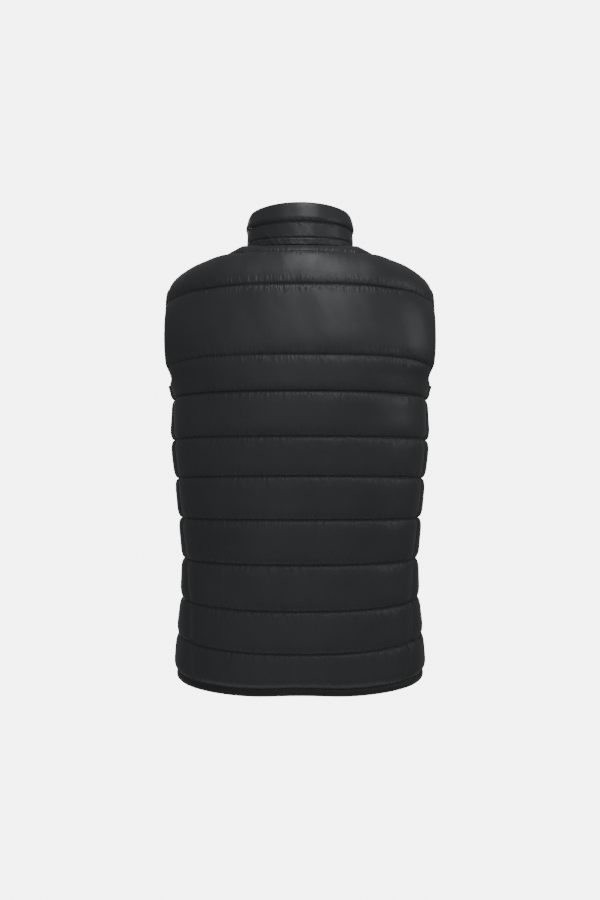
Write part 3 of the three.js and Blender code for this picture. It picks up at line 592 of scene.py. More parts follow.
def quilted_collar(seed):
    """The grids of the collar: inner, outer and the direction out."""
    rng = np.random.default_rng(seed)
    counts = (9, 17, 24)
    rises, line_rows = [], []
    for band, count in enumerate(counts):
        even = np.linspace(0, 1, count + 1)[:-1]
        low, high = COLLAR_LINES[band], COLLAR_LINES[band + 1]
        eased = even - 0.5 * np.sin(2 * np.pi * even) / (2 * np.pi) if band < 2 else np.sin(even * np.pi / 2)
        line_rows.append(len(rises))
        rises.extend(low + (high - low) * (even if band == 2 else eased))
    line_rows.append(len(rises))
    rises.append(1.0)
    half = np.linspace(0, NECK_FRONT_ANGLE, 186)
    signed = np.concatenate([-half[:0:-1], half])
    flip = np.where(signed < 0, -1, 1)
    angle, rise = np.meshgrid(np.abs(signed), rises)
    inner = collar_inner(angle, rise)
    out = collar_out(angle)
    out[0] = neck_mitre(angle[0])
    last = len(COLLAR_SWELL) - 1
    band = np.clip(np.searchsorted(COLLAR_LINES, rise, side="right") - 1, 0, last)
    low = np.array(COLLAR_LINES)[band]
    t = (rise - low) / (np.array(COLLAR_LINES)[band + 1] - low)
    to_zip = np.linalg.norm(neck_point(angle) - neck_point(np.full_like(angle, NECK_FRONT_ANGLE)), axis=-1)
    pinch = pinch_at(to_zip, **COLLAR_PINCH)
    foot = np.minimum(1, t * COLLAR_TOP["footSteepness"]) ** COLLAR_TOP["footPower"]
    rounded = np.sqrt(np.clip(1 - t ** COLLAR_TOP["edgePower"], 0, 1)) * foot
    crown = np.where(band == last, rounded, swell(t))
    depths = np.array(COLLAR_LINE_DEPTH)
    at_line = lerp(depths[band], depths[band + 1], t) - SEAM_THICKNESS
    thickness = SEAM_THICKNESS + (at_line + np.array(COLLAR_SWELL)[band] * crown) * pinch
    inner[0, :, 2] += COLLAR["seamGap"]
    inner[..., 0] *= flip
    out[..., 0] *= flip
    along = lengths_along(inner, 1)
    up = lengths_along(inner, 0)
    for row in line_rows[1:-1]:
        thickness -= LINE_NOTCH["depth"] * np.exp(-(((up - up[row]) / LINE_NOTCH["width"]) ** 2)) * pinch
    ease = np.clip(0.25 + crown * 3, 0, 1) * np.clip(pinch * 1.4, 0, 1) * np.clip((1 - rise) * 12, 0, 1)
    for number in range(len(COLLAR_SWELL)):
        rows = band[:, 0] == number
        thickness[rows] += 0.35 * smooth_noise(rng, along[rows], 4, 16, 60) * ease[rows]
    creases = np.zeros_like(thickness)
    for row in line_rows[:-1]:
        creases += gather_field(rng, along, np.abs(up - up[row]), 0.8, (3.0, 6.0), (5, 14))
    thickness += creases * ease
    outer = inner + out * thickness[..., None]
    lining = 1.2 * swell(t) * np.clip((to_zip - 20) / 15, 0, 1)
    inner = inner - out * lining[..., None]
    seam_away = 2.2 * from_nearest_line(up, line_rows[:-1])  # its bands are narrow, and so are its gathers
    grid = {"inner": inner, "outer": outer, "out": out, "line_rows": line_rows}
    return {**grid, "seam_along": along, "seam_away": seam_away}


def mirrored(grid):
    """A panel's grids for the wearer's right."""
    flip = np.array([-1.0, 1.0, 1.0])
    other = dict(grid)
    for name in ("inner", "outer", "out"):
        other[name] = grid[name][:, ::-1] * flip
    for name in ("seam_along", "seam_away"):
        other[name] = grid[name][:, ::-1]
    return other


def add_piece(name, vertices, faces, material, slot, body="vest", smooth=True, uv=None, seams=None):
    """One finished piece, from its points in millimetres."""
    mesh = bpy.data.meshes.new(name)
    mesh.from_pydata((np.asarray(vertices) * MM).tolist(), [], [list(map(int, f)) for f in faces])
    if smooth:
        mesh.polygons.foreach_set("use_smooth", [True] * len(mesh.polygons))
    for layer_name, places in (("cloth", uv), ("seams", seams)):
        if places is not None:
            layer = mesh.uv_layers.new(name=layer_name)
            corners = np.empty(len(mesh.loops), int)
            mesh.loops.foreach_get("vertex_index", corners)
            layer.data.foreach_set("uv", (np.asarray(places)[corners] * MM).ravel())
    mesh.update()
    piece = bpy.data.objects.new(name, mesh)
    bpy.context.scene.collection.objects.link(piece)
    mesh.materials.append(material)
    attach(piece, body)
    return piece


def signed_volume(vertices, faces):
    total = 0.0
    for corners in (faces[:, [0, 1, 2]], faces[:, [0, 2, 3]]):
        a, b, c = (vertices[corners[:, k]] for k in range(3))
        total += np.einsum("ij,ij->i", a, np.cross(b, c)).sum()
    return total


def kept(count, coarse):
    """Which of a grid's rows or columns a coarser grid keeps."""
    return np.unique(np.concatenate([np.arange(0, count, coarse), [count - 1]]))


def wall_mesh(outer, inner, coarse=4):
    """A closed wall: the outer grid, an inner grid with fewer points, and the rims between them."""
    rows, cols = outer.shape[:2]
    keep_rows, keep_cols = kept(rows, coarse), kept(cols, coarse)
    fewer = len(keep_rows), len(keep_cols)
    outer_index = np.arange(rows * cols).reshape(rows, cols)
    inner_index = rows * cols + np.arange(fewer[0] * fewer[1]).reshape(fewer)
    vertices = np.concatenate([outer.reshape(-1, 3), inner[np.ix_(keep_rows, keep_cols)].reshape(-1, 3)])

    def skin(index):
        corners = [index[:-1, :-1], index[:-1, 1:], index[1:, 1:], index[1:, :-1]]
        return np.stack(corners, axis=-1).reshape(-1, 4)

    outer_faces, inner_faces = skin(outer_index), skin(inner_index)[:, ::-1]
    faces = [list(f) for f in outer_faces] + [list(f) for f in inner_faces]
    rims = [
        (outer_index[0], inner_index[0], keep_cols, True),
        (outer_index[-1], inner_index[-1], keep_cols, False),
        (outer_index[:, 0], inner_index[:, 0], keep_rows, False),
        (outer_index[:, -1], inner_index[:, -1], keep_rows, True),
    ]
    for outer_rim, inner_rim, places, turn in rims:
        for k in range(len(places) - 1):
            strip = [*outer_rim[places[k] : places[k + 1] + 1], inner_rim[k + 1], inner_rim[k]]
            faces.append(strip[::-1] if turn else strip)
    if signed_volume(vertices, outer_faces) < 0:
        faces = [f[::-1] for f in faces]
    return vertices, faces


def for_both_skins(places, coarse):
    """A map's places for the points of the outer grid, and again for the fewer points of the inner one."""
    rows, cols = places.shape[:2]
    inner = places[np.ix_(kept(rows, coarse), kept(cols, coarse))]
    return np.concatenate([places.reshape(-1, 2), inner.reshape(-1, 2)])


def cloth_uv(outer, coarse=4):
    """The lie of the cloth: the distance across from the middle column, and up from the lowest row."""
    across = lengths_along(outer, 1)
    from_middle = across - across[:, [outer.shape[1] // 2]]
    return for_both_skins(np.stack([from_middle, lengths_along(outer, 0)], axis=-1), coarse)


def seam_uv(grid, coarse=4):
    """A second map for the shell: the distance along a quilting line, and the distance from it."""
    return for_both_skins(np.stack([grid["seam_along"], grid["seam_away"]], axis=-1), coarse)


def from_nearest_line(up, line_rows):
    """For each point of a grid, the distance to the nearest of the lines."""
    return np.stack([np.abs(up - up[row]) for row in line_rows]).min(axis=0)


# Colours and materials.
def linear(hex_colour):
    """An sRGB hex colour as linear light."""
    values = [int(hex_colour[i : i + 2], 16) / 255 for i in (1, 3, 5)]
    return [v / 12.92 if v <= 0.04045 else ((v + 0.055) / 1.055) ** 2.4 for v in values] + [1.0]


def add_node(tree, kind, settings=(), inputs=(), links=()):
    """Adds a node, sets its own settings and its inputs, and links (from node, from socket, to socket)."""
    node = tree.nodes.new(kind)
    for name, value in dict(settings).items():
        setattr(node, name, value)
    for name, value in dict(inputs).items():
        node.inputs[name].default_value = value
    for source, output, name in links:
        tree.links.new(source.outputs[output], node.inputs[name])
    return node


def new_material(name, surface):
    """A material with a principled surface, and the tree that the patterns go in."""
    material = bpy.data.materials.new(name)
    material.use_nodes = True
    tree = material.node_tree
    shader = tree.nodes["Principled BSDF"]
    for socket, value in surface.items():
        shader.inputs[socket].default_value = value
    return material, tree, shader


def two_shades(tree, shader, pattern, dark, light, at=(0.0, 1.0)):
    """The base colour runs from one shade to another with a pattern."""
    tint = add_node(tree, "ShaderNodeValToRGB", (), (), [(pattern, "Fac", "Fac")])
    for element, place, shade in zip(tint.color_ramp.elements, at, (dark, light)):
        element.position = place
        element.color = shade
    tree.links.new(tint.outputs["Color"], shader.inputs["Base Color"])


def varied_gloss(tree, shader, pattern, low, high):
    limits = {"To Min": low, "To Max": high}
    gloss = add_node(tree, "ShaderNodeMapRange", (), limits, [(pattern, "Fac", "Value")])
    tree.links.new(gloss.outputs["Result"], shader.inputs["Roughness"])


def relief(tree, shader, height, socket, strength, distance, over=()):
    """A pattern raised as a bump, over another bump where one is given."""
    surface = {"Strength": strength, "Distance": distance}
    links = [(height, socket, "Height"), *((bump, "Normal", "Normal") for bump in over)]
    bump = add_node(tree, "ShaderNodeBump", (), surface, links)
    tree.links.new(bump.outputs["Normal"], shader.inputs["Normal"])
    return bump


def bands(tree, place, axis, inputs):
    settings = {"wave_type": "BANDS", "bands_direction": axis}
    return add_node(tree, "ShaderNodeTexWave", settings, inputs, [(place, "UV", "Vector")])


def grain(tree, place, scale, detail=2.0):
    inputs = {"Scale": scale, "Detail": detail}
    return add_node(tree, "ShaderNodeTexNoise", (), inputs, [(place, "Object", "Vector")])


THREADS_PER_METRE = 285.0  # in a wave texture's own scale


def downproof_nylon():
    """Plain-woven nylon pressed smooth so that no filling comes through: dark, with a soft silky sheen."""
    surface = {"IOR": 1.5, "Specular IOR Level": 0.5, "Sheen Weight": 0.06, "Sheen Roughness": 0.45}
    material, tree, shader = new_material("downproof_nylon", surface)
    place = add_node(tree, "ShaderNodeTexCoord")
    # Threads lie about 0.2 mm apart in such cloth, drawn here at 1.1 mm so that they show.
    threads = {"Scale": THREADS_PER_METRE, "Distortion": 0.6, "Detail": 1.0}
    weft, warp = (bands(tree, place, axis, threads) for axis in ("X", "Y"))
    crossings = [(weft, "Fac", 0), (warp, "Fac", 1)]
    weave = add_node(tree, "ShaderNodeMath", {"operation": "MAXIMUM"}, (), crossings)
    # The press leaves patches a little glossier than the rest, some 60 mm across.
    patches = grain(tree, place, 16.0, 3.0)
    varied_gloss(tree, shader, patches, 0.4, 0.48)
    two_shades(tree, shader, patches, linear("#292a2c"), linear("#2c2d2f"), (0.3, 0.7))
    bump = relief(tree, shader, weave, "Value", 0.12, 0.00015)
    relief(tree, shader, gather_height(tree), "Value", 1.0, 0.0016, [bump])
    return material


def gather_height(tree):
    """Puckers 2 to 5 mm apart beside each line, 4 to 20 mm long, where the sewing takes the cloth up."""
    place = add_node(tree, "ShaderNodeUVMap", {"uv_map": "seams"})
    body = add_node(tree, "ShaderNodeTexCoord")
    # The height on the vest comes in as the third direction, so that no two lines have the same gathers.
    height = add_node(
        tree, "ShaderNodeVectorMath", {"operation": "MULTIPLY"}, {1: (0.0, 0.0, 17.0)}, [(body, "Object", 0)]
    )

    def noise_along(scale, detail):
        stretch = {"operation": "MULTIPLY"}
        flat = add_node(tree, "ShaderNodeVectorMath", stretch, {1: scale}, [(place, "UV", 0)])
        both = [(flat, "Vector", 0), (height, "Vector", 1)]
        moved = add_node(tree, "ShaderNodeVectorMath", {"operation": "ADD"}, (), both)
        return add_node(
            tree, "ShaderNodeTexNoise", (), {"Scale": 1.0, "Detail": detail}, [(moved, "Vector", "Vector")]
        )

    streaks = noise_along((300.0, 26.0, 0.0), 1.5)
    lengths = noise_along((190.0, 0.0, 0.0), 2.0)
    reach = add_node(
        tree,
        "ShaderNodeMapRange",
        (),
        {"From Min": 0.3, "From Max": 0.7, "To Min": 0.003, "To Max": 0.02},
        [(lengths, "Fac", "Value")],
    )
    axes = add_node(tree, "ShaderNodeSeparateXYZ", (), (), [(place, "UV", "Vector")])
    fade = add_node(
        tree,
        "ShaderNodeMapRange",
        {"interpolation_type": "SMOOTHSTEP"},
        {"From Min": 0.0, "To Min": 1.0, "To Max": 0.0},
        [(axes, "Y", "Value"), (reach, "Result", "From Max")],
    )
    return add_node(
        tree, "ShaderNodeMath", {"operation": "MULTIPLY"}, (), [(streaks, "Fac", 0), (fade, "Result", 1)]
    )


def ribbed_tape(name, shade, roughness, pitch_mm):
    """Woven narrow tape with fine ribs across it, duller than the shell."""
    material, tree, shader = new_material(name, {"Roughness": roughness, "IOR": 1.5, "Sheen Weight": 0.12})
    place = add_node(tree, "ShaderNodeTexCoord")
    ribs = bands(tree, place, "X", {"Scale": 314.0 / pitch_mm, "Distortion": 0.4})
    # Between the ribs the colour is darker: painted shade in the grooves, where the bump is low.
    shaded_between_ribs = [v * 0.8 for v in linear(shade)[:3]] + [1.0]
    two_shades(tree, shader, ribs, shaded_between_ribs, linear(shade))
    relief(tree, shader, ribs, "Fac", 0.2, 0.0002)
    return material


def moulded_resin():
    """Acetal resin as moulded onto a tape for zip teeth: black, satin, faintly rippled."""
    material, tree, shader = new_material("moulded_resin", {"Roughness": 0.36, "IOR": 1.48})
    place = add_node(tree, "ShaderNodeTexCoord")
    ripple = grain(tree, place, 900.0)
    two_shades(tree, shader, ripple, linear("#141415"), linear("#1c1c1d"))
    relief(tree, shader, ripple, "Fac", 0.1, 0.0001)
    return material


def black_lacquer():
    """Die-cast zinc, tumbled and dipped in black lacquer: smooth and glossy, slightly worn in patches."""
    surface = {"Roughness": 0.28, "IOR": 1.5, "Coat Weight": 0.3}
    material, tree, shader = new_material("black_lacquer", surface)
    place = add_node(tree, "ShaderNodeTexCoord")
    wear = grain(tree, place, 260.0, 4.0)
    two_shades(tree, shader, wear, linear("#121213"), linear("#232325"), (0.35, 0.8))
    varied_gloss(tree, shader, wear, 0.22, 0.4)
    return material


def spun_thread():
    """Bonded polyester sewing thread, black, with its twist showing as a slight sheen."""
    material, tree, shader = new_material("spun_thread", {"Roughness": 0.5, "IOR": 1.5, "Sheen Weight": 0.2})
    place = add_node(tree, "ShaderNodeTexCoord")
    # The colour runs lighter and darker in a fine noise: painted sheen along the twist.
    twist_sheen = grain(tree, place, 700.0)
    two_shades(tree, shader, twist_sheen, linear("#1a1b1c"), linear("#262728"))
    return material


nylon = downproof_nylon()
binding_cloth = ribbed_tape("folded_binding", "#1f2021", 0.55, 1.2)
tape_cloth = ribbed_tape("zip_tape_weave", "#18191a", 0.6, 1.0)
resin = moulded_resin()
lacquer = black_lacquer()
thread = spun_thread()

# The back and the two fronts.
back = quilted_panel("back", SEEDS["back"])
front_left = quilted_panel("front", SEEDS["front_left"])
front_right = mirrored(quilted_panel("front", SEEDS["front_right"]))
for name, grid, node in (
    ("quilted_back", back, "back_panel"),
    ("quilted_front_left", front_left, "front_left_panel"),
    ("quilted_front_right", front_right, "front_right_panel"),
):
    vertices, faces = wall_mesh(grid["outer"], grid["inner"])
    maps = {"uv": cloth_uv(grid["outer"]), "seams": seam_uv(grid)}
    panel = add_piece(name, vertices, faces, nylon, "quilted_shell", **maps)
    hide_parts(node)

collar = quilted_collar(SEEDS["collar"])
vertices, faces = wall_mesh(collar["outer"], collar["inner"], 2)
maps = {"uv": cloth_uv(collar["outer"], 2), "seams": seam_uv(collar, 2)}
collar_piece = add_piece("stand_collar", vertices, faces, nylon, "quilted_shell", **maps)
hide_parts("collar")


# The folded bindings round the armholes and along the hem.
BINDING = {"armholeReach": 4.1, "armholeDepth": 3.8, "hemReach": 4.9, "hemDepth": 4.1, "hemLip": 0.9}
BINDING_SIDES = 22
HEM_END_X = 6.1  # the hem strip's ends meet the box at the zip's foot


def folded_binding(name, node, edges, reach, depth, closed, seed, lip=0.0):
    """A strip folded over the cloth's edge; edges are pairs of points and directions out along it."""
    rng = np.random.default_rng(seed)
    inner, out = (np.concatenate([e[k] for e in edges]) for k in range(2))
    keep = np.concatenate([[True], np.linalg.norm(np.diff(inner, axis=0), axis=-1) > 0.5])
    inner, out = inner[keep], out[keep]
    before = np.roll(inner, 1, axis=0)
    after = np.roll(inner, -1, axis=0)
    if not closed:
        before[0], after[-1] = inner[0], inner[-1]
    along = unit(after - before)
    away = unit(np.cross(along, out))
    if closed:
        for _ in range(8):
            away = unit(np.roll(away, 1, axis=0) + away + np.roll(away, -1, axis=0))
    middle = inner + away * (reach + SEAM_GAP) + out * (SEAM_THICKNESS / 2)
    distance = lengths_along(middle, 0)
    turns = 2 * np.pi * (np.arange(BINDING_SIDES) + 0.5) / BINDING_SIDES
    c, s = np.cos(turns), np.sin(turns)
    wide = np.sign(c) * np.abs(c) ** 0.8
    deep = np.sign(s) * np.abs(s) ** 0.8
    pucker = np.zeros((len(distance), BINDING_SIDES))
    for _ in range(3):
        place = distance[:, None] + rng.uniform(-0.6, 0.6) * deep * 4
        pucker += smooth_noise(rng, place, 3, 4, 11)
    # The edge stitching draws the strip in along a line close to the cloth, on both faces.
    stitched = np.exp(-(((c + 0.55) / 0.16) ** 2))
    if closed:
        from_foot = np.minimum(distance, distance[-1] - distance)
        at_foot = np.exp(-((from_foot / 12) ** 2))
        depth = (depth * (1 - 0.4 * at_foot))[:, None]
        middle = middle - out * (1.7 * at_foot)[:, None]
    scale = 0.97 + 0.018 * pucker * (0.4 + stitched) - 0.11 * stitched
    over_edge = lip * np.clip((np.abs(deep) * depth - 2) / 0.8, 0, 1) * np.clip(-2 * wide, 0, 1)
    ring = (
        middle[:, None]
        + away[:, None] * np.broadcast_to(wide * reach - over_edge, scale.shape)[..., None]
        + out[:, None] * (deep * depth * scale)[..., None]
    )
    rows = len(ring)
    index = np.arange(rows * BINDING_SIDES).reshape(rows, BINDING_SIDES)
    beside = np.roll(index, -1, axis=1)
    faces = np.stack([index, beside, np.roll(beside, -1, axis=0), np.roll(index, -1, axis=0)], axis=-1)
    faces = (faces if closed else faces[:-1]).reshape(-1, 4)
    vertices = ring.reshape(-1, 3)
    flip = signed_volume(vertices, faces) < 0
    listed = [list(f[::-1]) if flip else list(f) for f in faces]
    if not closed:
        listed.append(list(index[0]) if flip else list(index[0][::-1]))
        listed.append(list(index[-1][::-1]) if flip else list(index[-1]))
    u = np.repeat(distance[:, None], BINDING_SIDES, axis=1)
    v = np.broadcast_to(turns * reach, u.shape)
    uv = np.stack([u, v], -1).reshape(-1, 2)
    piece = add_piece(name, vertices, listed, binding_cloth, "binding", uv=uv)
    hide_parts(node)


def edge_of(grid, rows, column):
    return grid["inner"][rows, column], grid["out"][rows, column]


def reversed_edge(edge):
    return tuple(part[::-1] for part in edge)


armhole_row = int(np.searchsorted(back["levels"], 7 + ARMHOLE_START - 1e-6))
armhole_rows = np.arange(armhole_row, len(back["levels"]))
for name, front, column in (("left", front_left, -1), ("right", front_right, 0)):
    up_back = edge_of(back, armhole_rows, column)
    down_front = reversed_edge(edge_of(front, armhole_rows[1:-1], column))
    loop = [up_back, down_front]
    if name == "left":
        loop = [reversed_edge(down_front), reversed_edge(up_back)]
    piece_name, node, seed = f"armhole_strip_{name}", f"armhole_binding_{name}", STRIP_SEEDS[name]
    folded_binding(piece_name, node, loop, BINDING["armholeReach"], BINDING["armholeDepth"], True, seed)



def end_by_box(grid, column):
    """The hem's edge carried on from a front's edge as far as the box at the zip's foot."""
    inner, out = edge_of(grid, 0, [column])
    shift = xyz(np.sign(inner[:, 0]) * (HEM_END_X - np.abs(inner[:, 0])), 0.0, 0.0)
    return inner + shift, out


hem = [
    end_by_box(front_left, 0),
    edge_of(front_left, 0, slice(None)),
    edge_of(back, 0, slice(None, None, -1)),
    edge_of(front_right, 0, slice(None)),
    end_by_box(front_right, -1),
]
hem_size = BINDING["hemReach"], BINDING["hemDepth"]
folded_binding("hem_strip", "hem_binding", hem, *hem_size, False, STRIP_SEEDS["hem"], BINDING["hemLip"])


# Sewing: short stitches lie in every quilting line.
STITCH = {"pitch": 3.6, "length": 2.5, "radius": 0.32, "sides": 5}


def stitch_template():
    """One stitch along X: a short thread that dips into the cloth at both ends."""
    stations = [(-0.5, -0.9), (-0.3, -0.1), (0.3, -0.1), (0.5, -0.9)]
    vertices, sides = [], STITCH["sides"]
    for share, sink in stations:
        for k in range(sides):
            turn = 2 * math.pi * k / sides
            r = STITCH["radius"]
            vertices.append((share * STITCH["length"], r * math.cos(turn), r * math.sin(turn) + sink * r))
    faces = []
    for i in range(len(stations) - 1):
        for k in range(sides):
            j = (k + 1) % sides
            faces.append((i * sides + k, i * sides + j, (i + 1) * sides + j, (i + 1) * sides + k))
    return np.array(vertices), np.array(faces)


def add_stitches(name, seams):
    """Copies of one stitch along seams, each a pair of points and directions out."""
    template, faces = stitch_template()
    all_vertices, all_faces, count = [], [], 0
    for points, out in seams:
        distance = lengths_along(points, 0)
        places = np.arange(STITCH["pitch"], distance[-1] - STITCH["pitch"] / 2, STITCH["pitch"])
        at = along_line(places, distance, points)
        ahead = along_line(places + 0.5, distance, points)
        normal = unit(along_line(places, distance, out))
        x = unit(ahead - at)
        y = unit(np.cross(normal, x))
        z = np.cross(x, y)
        placed = (
            at[:, None]
            + x[:, None] * template[None, :, :1]
            + y[:, None] * template[None, :, 1:2]
            + z[:, None] * template[None, :, 2:]
        )
        all_vertices.append(placed.reshape(-1, 3))
        step = len(template)
        offsets = count + step * np.arange(len(places))
        all_faces.append((faces[None] + offsets[:, None, None]).reshape(-1, 4))
        count += step * len(places)
    add_piece(name, np.concatenate(all_vertices), np.concatenate(all_faces), thread, "quilted_shell")


def seams_of(grid, rows):
    return [(grid["outer"][row] + grid["out"][row] * 0.12, grid["out"][row]) for row in rows]


quilted = {"back": back, "front_left": front_left, "front_right": front_right, "collar": collar}
for name, grid in quilted.items():
    add_stitches(f"{name}_quilting_stitches", seams_of(grid, grid["line_rows"][1:-1]))


# The zip. Its line runs up the left front edge and on up the collar's edge.
ZIP = {"toothHalf": 2.8, "under": 1.3, "over": 1.9, "tapeThickness": 1.0, "bottomLift": 1.5}
SLIDER = {"z": -37, "halfHeight": 6, "halfWidth": 4.8, "plate": 1.5, "channel": 3.1}
BRIDGE = {"foot": 4.5, "footHalf": 1, "gap": 2.4, "bar": 1.4, "halfWidth": 1.2}
PULL = {"thickness": 1.4, "ringHalf": 3.4, "holeHalf": 1.9, "holeLength": 9.2}
TONGUE = {"half": 4, "rim": 1.3, "slope": 0.25, "sunk": 0.3}
TOOTH = {"pitch": 3.0, "height": 1.3, "overlap": 0.9, "apart": 0.35, "bevel": 0.25}
CORD = {"near": 0.5, "far": 3.7, "thickness": 0.35}  # it ends just in front of the tape

TAPE = {"middle": 5.5, "underPanel": 0.0276, "underCollar": 0.092}  # how far it runs in under the front
TAPE_FOOT = 2.7  # the tape's end runs down a little into the hem strip, so that no gap shows beside the box

panel_levels = np.linspace(0, TOP_LEVEL, 240)[:-1]
panel_edge = panel_inner("front", np.zeros_like(panel_levels), panel_levels)
collar_rises = np.linspace(0.02, 1, 30)
collar_edge = collar_inner(np.full_like(collar_rises, NECK_FRONT_ANGLE), collar_rises)
zip_line = np.concatenate([panel_edge, collar_edge])
zip_line[0, 2] += ZIP["bottomLift"]


def add_tape(name, side, node):
    """The woven tape beside the teeth, which runs in under the front's edge."""
    places = (ZIP["toothHalf"] + SEAM_GAP, TAPE["middle"], ZIP_EDGE_X)
    columns = [xyz(x, zip_line[:, 1], zip_line[:, 2]) for x in places]
    far_panel = panel_inner("front", np.full_like(panel_levels, TAPE["underPanel"]), panel_levels)
    far_angle = lerp(NECK_FRONT_ANGLE, 90, TAPE["underCollar"])
    far_collar = collar_inner(np.full_like(collar_rises, far_angle), collar_rises)
    columns.append(np.concatenate([far_panel, far_collar]))
    columns[-1][0, 2] += ZIP["bottomLift"]
    grid = np.stack(columns, axis=1)
    grid[0, :, 2] -= TAPE_FOOT
    outwards = unit(xyz(-0.06, -1.0, 0.0) * np.ones_like(grid))
    back_face = grid - outwards * (SEAM_GAP + ZIP["tapeThickness"])
    front_face = back_face + outwards * ZIP["tapeThickness"]
    flip = np.array([side, 1.0, 1.0])
    vertices, faces = wall_mesh(front_face * flip, back_face * flip, 1)
    uv = cloth_uv(front_face, 1)[:, ::-1]
    tape = add_piece(name, vertices, faces, tape_cloth, "zip_tape", smooth=False, uv=uv)
    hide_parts(node)


add_tape("woven_tape_left", 1.0, "zip_tape_left")
add_tape("woven_tape_right", -1.0, "zip_tape_right")


def in_edit_mode(work):
    bpy.ops.object.mode_set(mode="EDIT")
    bpy.ops.mesh.select_all(action="SELECT")
    work()
    bpy.ops.object.mode_set(mode="OBJECT")


def block(low, high, bevel, segments=2):
    """A rounded block between two corners, in millimetres."""
    size = [(h - l) * MM for l, h in zip(low, high)]
    centre = [(h + l) / 2 * MM for l, h in zip(low, high)]
    bpy.ops.object.select_all(action="DESELECT")
    bpy.ops.mesh.primitive_cube_add(size=1)
    made = bpy.context.object

    def shape():
        bpy.ops.transform.resize(value=size)
        bpy.ops.mesh.bevel(offset=bevel * MM, segments=segments)
        bpy.ops.transform.translate(value=centre)

    in_edit_mode(shape)
    return made


def joined(name, parts, material, body, node):
    """Parts made into one piece that takes the place of a node."""
    bpy.ops.object.select_all(action="DESELECT")
    for part in parts:
        part.select_set(True)
    bpy.context.view_layer.objects.active = parts[0]
    bpy.ops.object.join()
    piece = bpy.context.object
    piece.name = name
    piece.data.materials.clear()
    piece.data.materials.append(material)
    bpy.ops.object.shade_smooth_by_angle(angle=math.radians(40))
    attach(piece, body)
    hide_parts(node)
    return piece


def corded_edge(side):
    """The strip that one row of teeth is moulded on, which closes the gaps between them."""
    line = zip_line[::3]
    columns = [xyz(x, line[:, 1] - 0.1, line[:, 2]) for x in (CORD["near"], CORD["far"])]
    front = np.stack(columns, axis=1)
    flip = np.array([side, 1.0, 1.0])
    return wall_mesh(front * flip, (front + (0, CORD["thickness"], 0)) * flip, 1)


def add_teeth():
    """Two rows of moulded teeth that mesh below the slider and stand apart above it."""
    half = ZIP["toothHalf"]
    under, over = ZIP["under"], ZIP["over"]
    high = TOOTH["height"] / 2
    tooth = block((0, -over, -high), (half, under, high), TOOTH["bevel"], 1)
    shape = np.array([v.co[:] for v in tooth.data.vertices]) / MM
    faces = [list(f.vertices) for f in tooth.data.polygons]
    bpy.data.objects.remove(tooth)
    distance = lengths_along(zip_line, 0)
    places = np.arange(TOOTH["pitch"] / 2, distance[-1] - 1, TOOTH["pitch"] / 2)
    at = along_line(places, distance, zip_line)
    vertices, all_faces = [], []
    for i, (_, y, z) in enumerate(at):
        side = 1 if i % 2 else -1
        reach = TOOTH["overlap"] if z < SLIDER["z"] else -TOOTH["apart"]
        placed = shape.copy()
        placed[:, 0] = (-reach + placed[:, 0] * (half + reach) / half) * side
        placed += (0, y, z)
        offset = len(vertices) * len(shape)
        vertices.append(placed)
        all_faces.extend([[v + offset for v in (f if side > 0 else f[::-1])] for f in faces])
    for side in (-1, 1):
        cord_vertices, cord_faces = corded_edge(side)
        offset = sum(len(v) for v in vertices)
        vertices.append(cord_vertices)
        all_faces.extend([[v + offset for v in f] for f in cord_faces])
    teeth = add_piece("zip_teeth_rows", np.concatenate(vertices), all_faces, resin, "zip_teeth", smooth=False)
    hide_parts("zip_chain")


add_teeth()

slider_low, slider_high = (np.array(corner[:]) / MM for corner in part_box("zip_slider"))
pull_low, pull_high = (np.array(corner[:]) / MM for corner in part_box("zip_pull"))
box_low, box_high = (np.array(corner[:]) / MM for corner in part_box("zip_box"))
FOOT_FACE = {"half": 2.4, "proud": 0.02, "back": 0.9, "foot": 1.6, "head": 1.2}


def add_slider():
    """The slider's body: a plate with two flanges round the teeth, and a bridge that holds the pull."""
    half_width, half_height, z = SLIDER["halfWidth"], SLIDER["halfHeight"], SLIDER["z"]
    arch, back_of_flange = slider_low[1], slider_high[1]
    plate_face = arch + BRIDGE["gap"] + BRIDGE["bar"]
    low_z, high_z = z - half_height, z + half_height
    plate_back = plate_face + SLIDER["plate"]
    parts = [block((-half_width, plate_face, low_z), (half_width, plate_back, high_z), 0.5, 3)]
    for side in (-1, 1):
        xs = sorted((side * SLIDER["channel"], side * half_width))
        parts.append(block((xs[0], plate_face + 0.5, low_z), (xs[1], back_of_flange, high_z), 0.35, 2))
    foot, foot_half, narrow = BRIDGE["foot"], BRIDGE["footHalf"], BRIDGE["halfWidth"]
    for foot_z in (z - foot, z + foot):
        corner = (narrow, plate_face + 0.4, foot_z + foot_half)
        parts.append(block((-narrow, arch, foot_z - foot_half), corner, 0.4, 3))
    top = (narrow, arch + BRIDGE["bar"], z + foot + foot_half)
    parts.append(block((-narrow, arch, z - foot - foot_half), top, 0.5, 3))
    joined("zip_slider_body", parts, lacquer, "vest", "zip_slider")


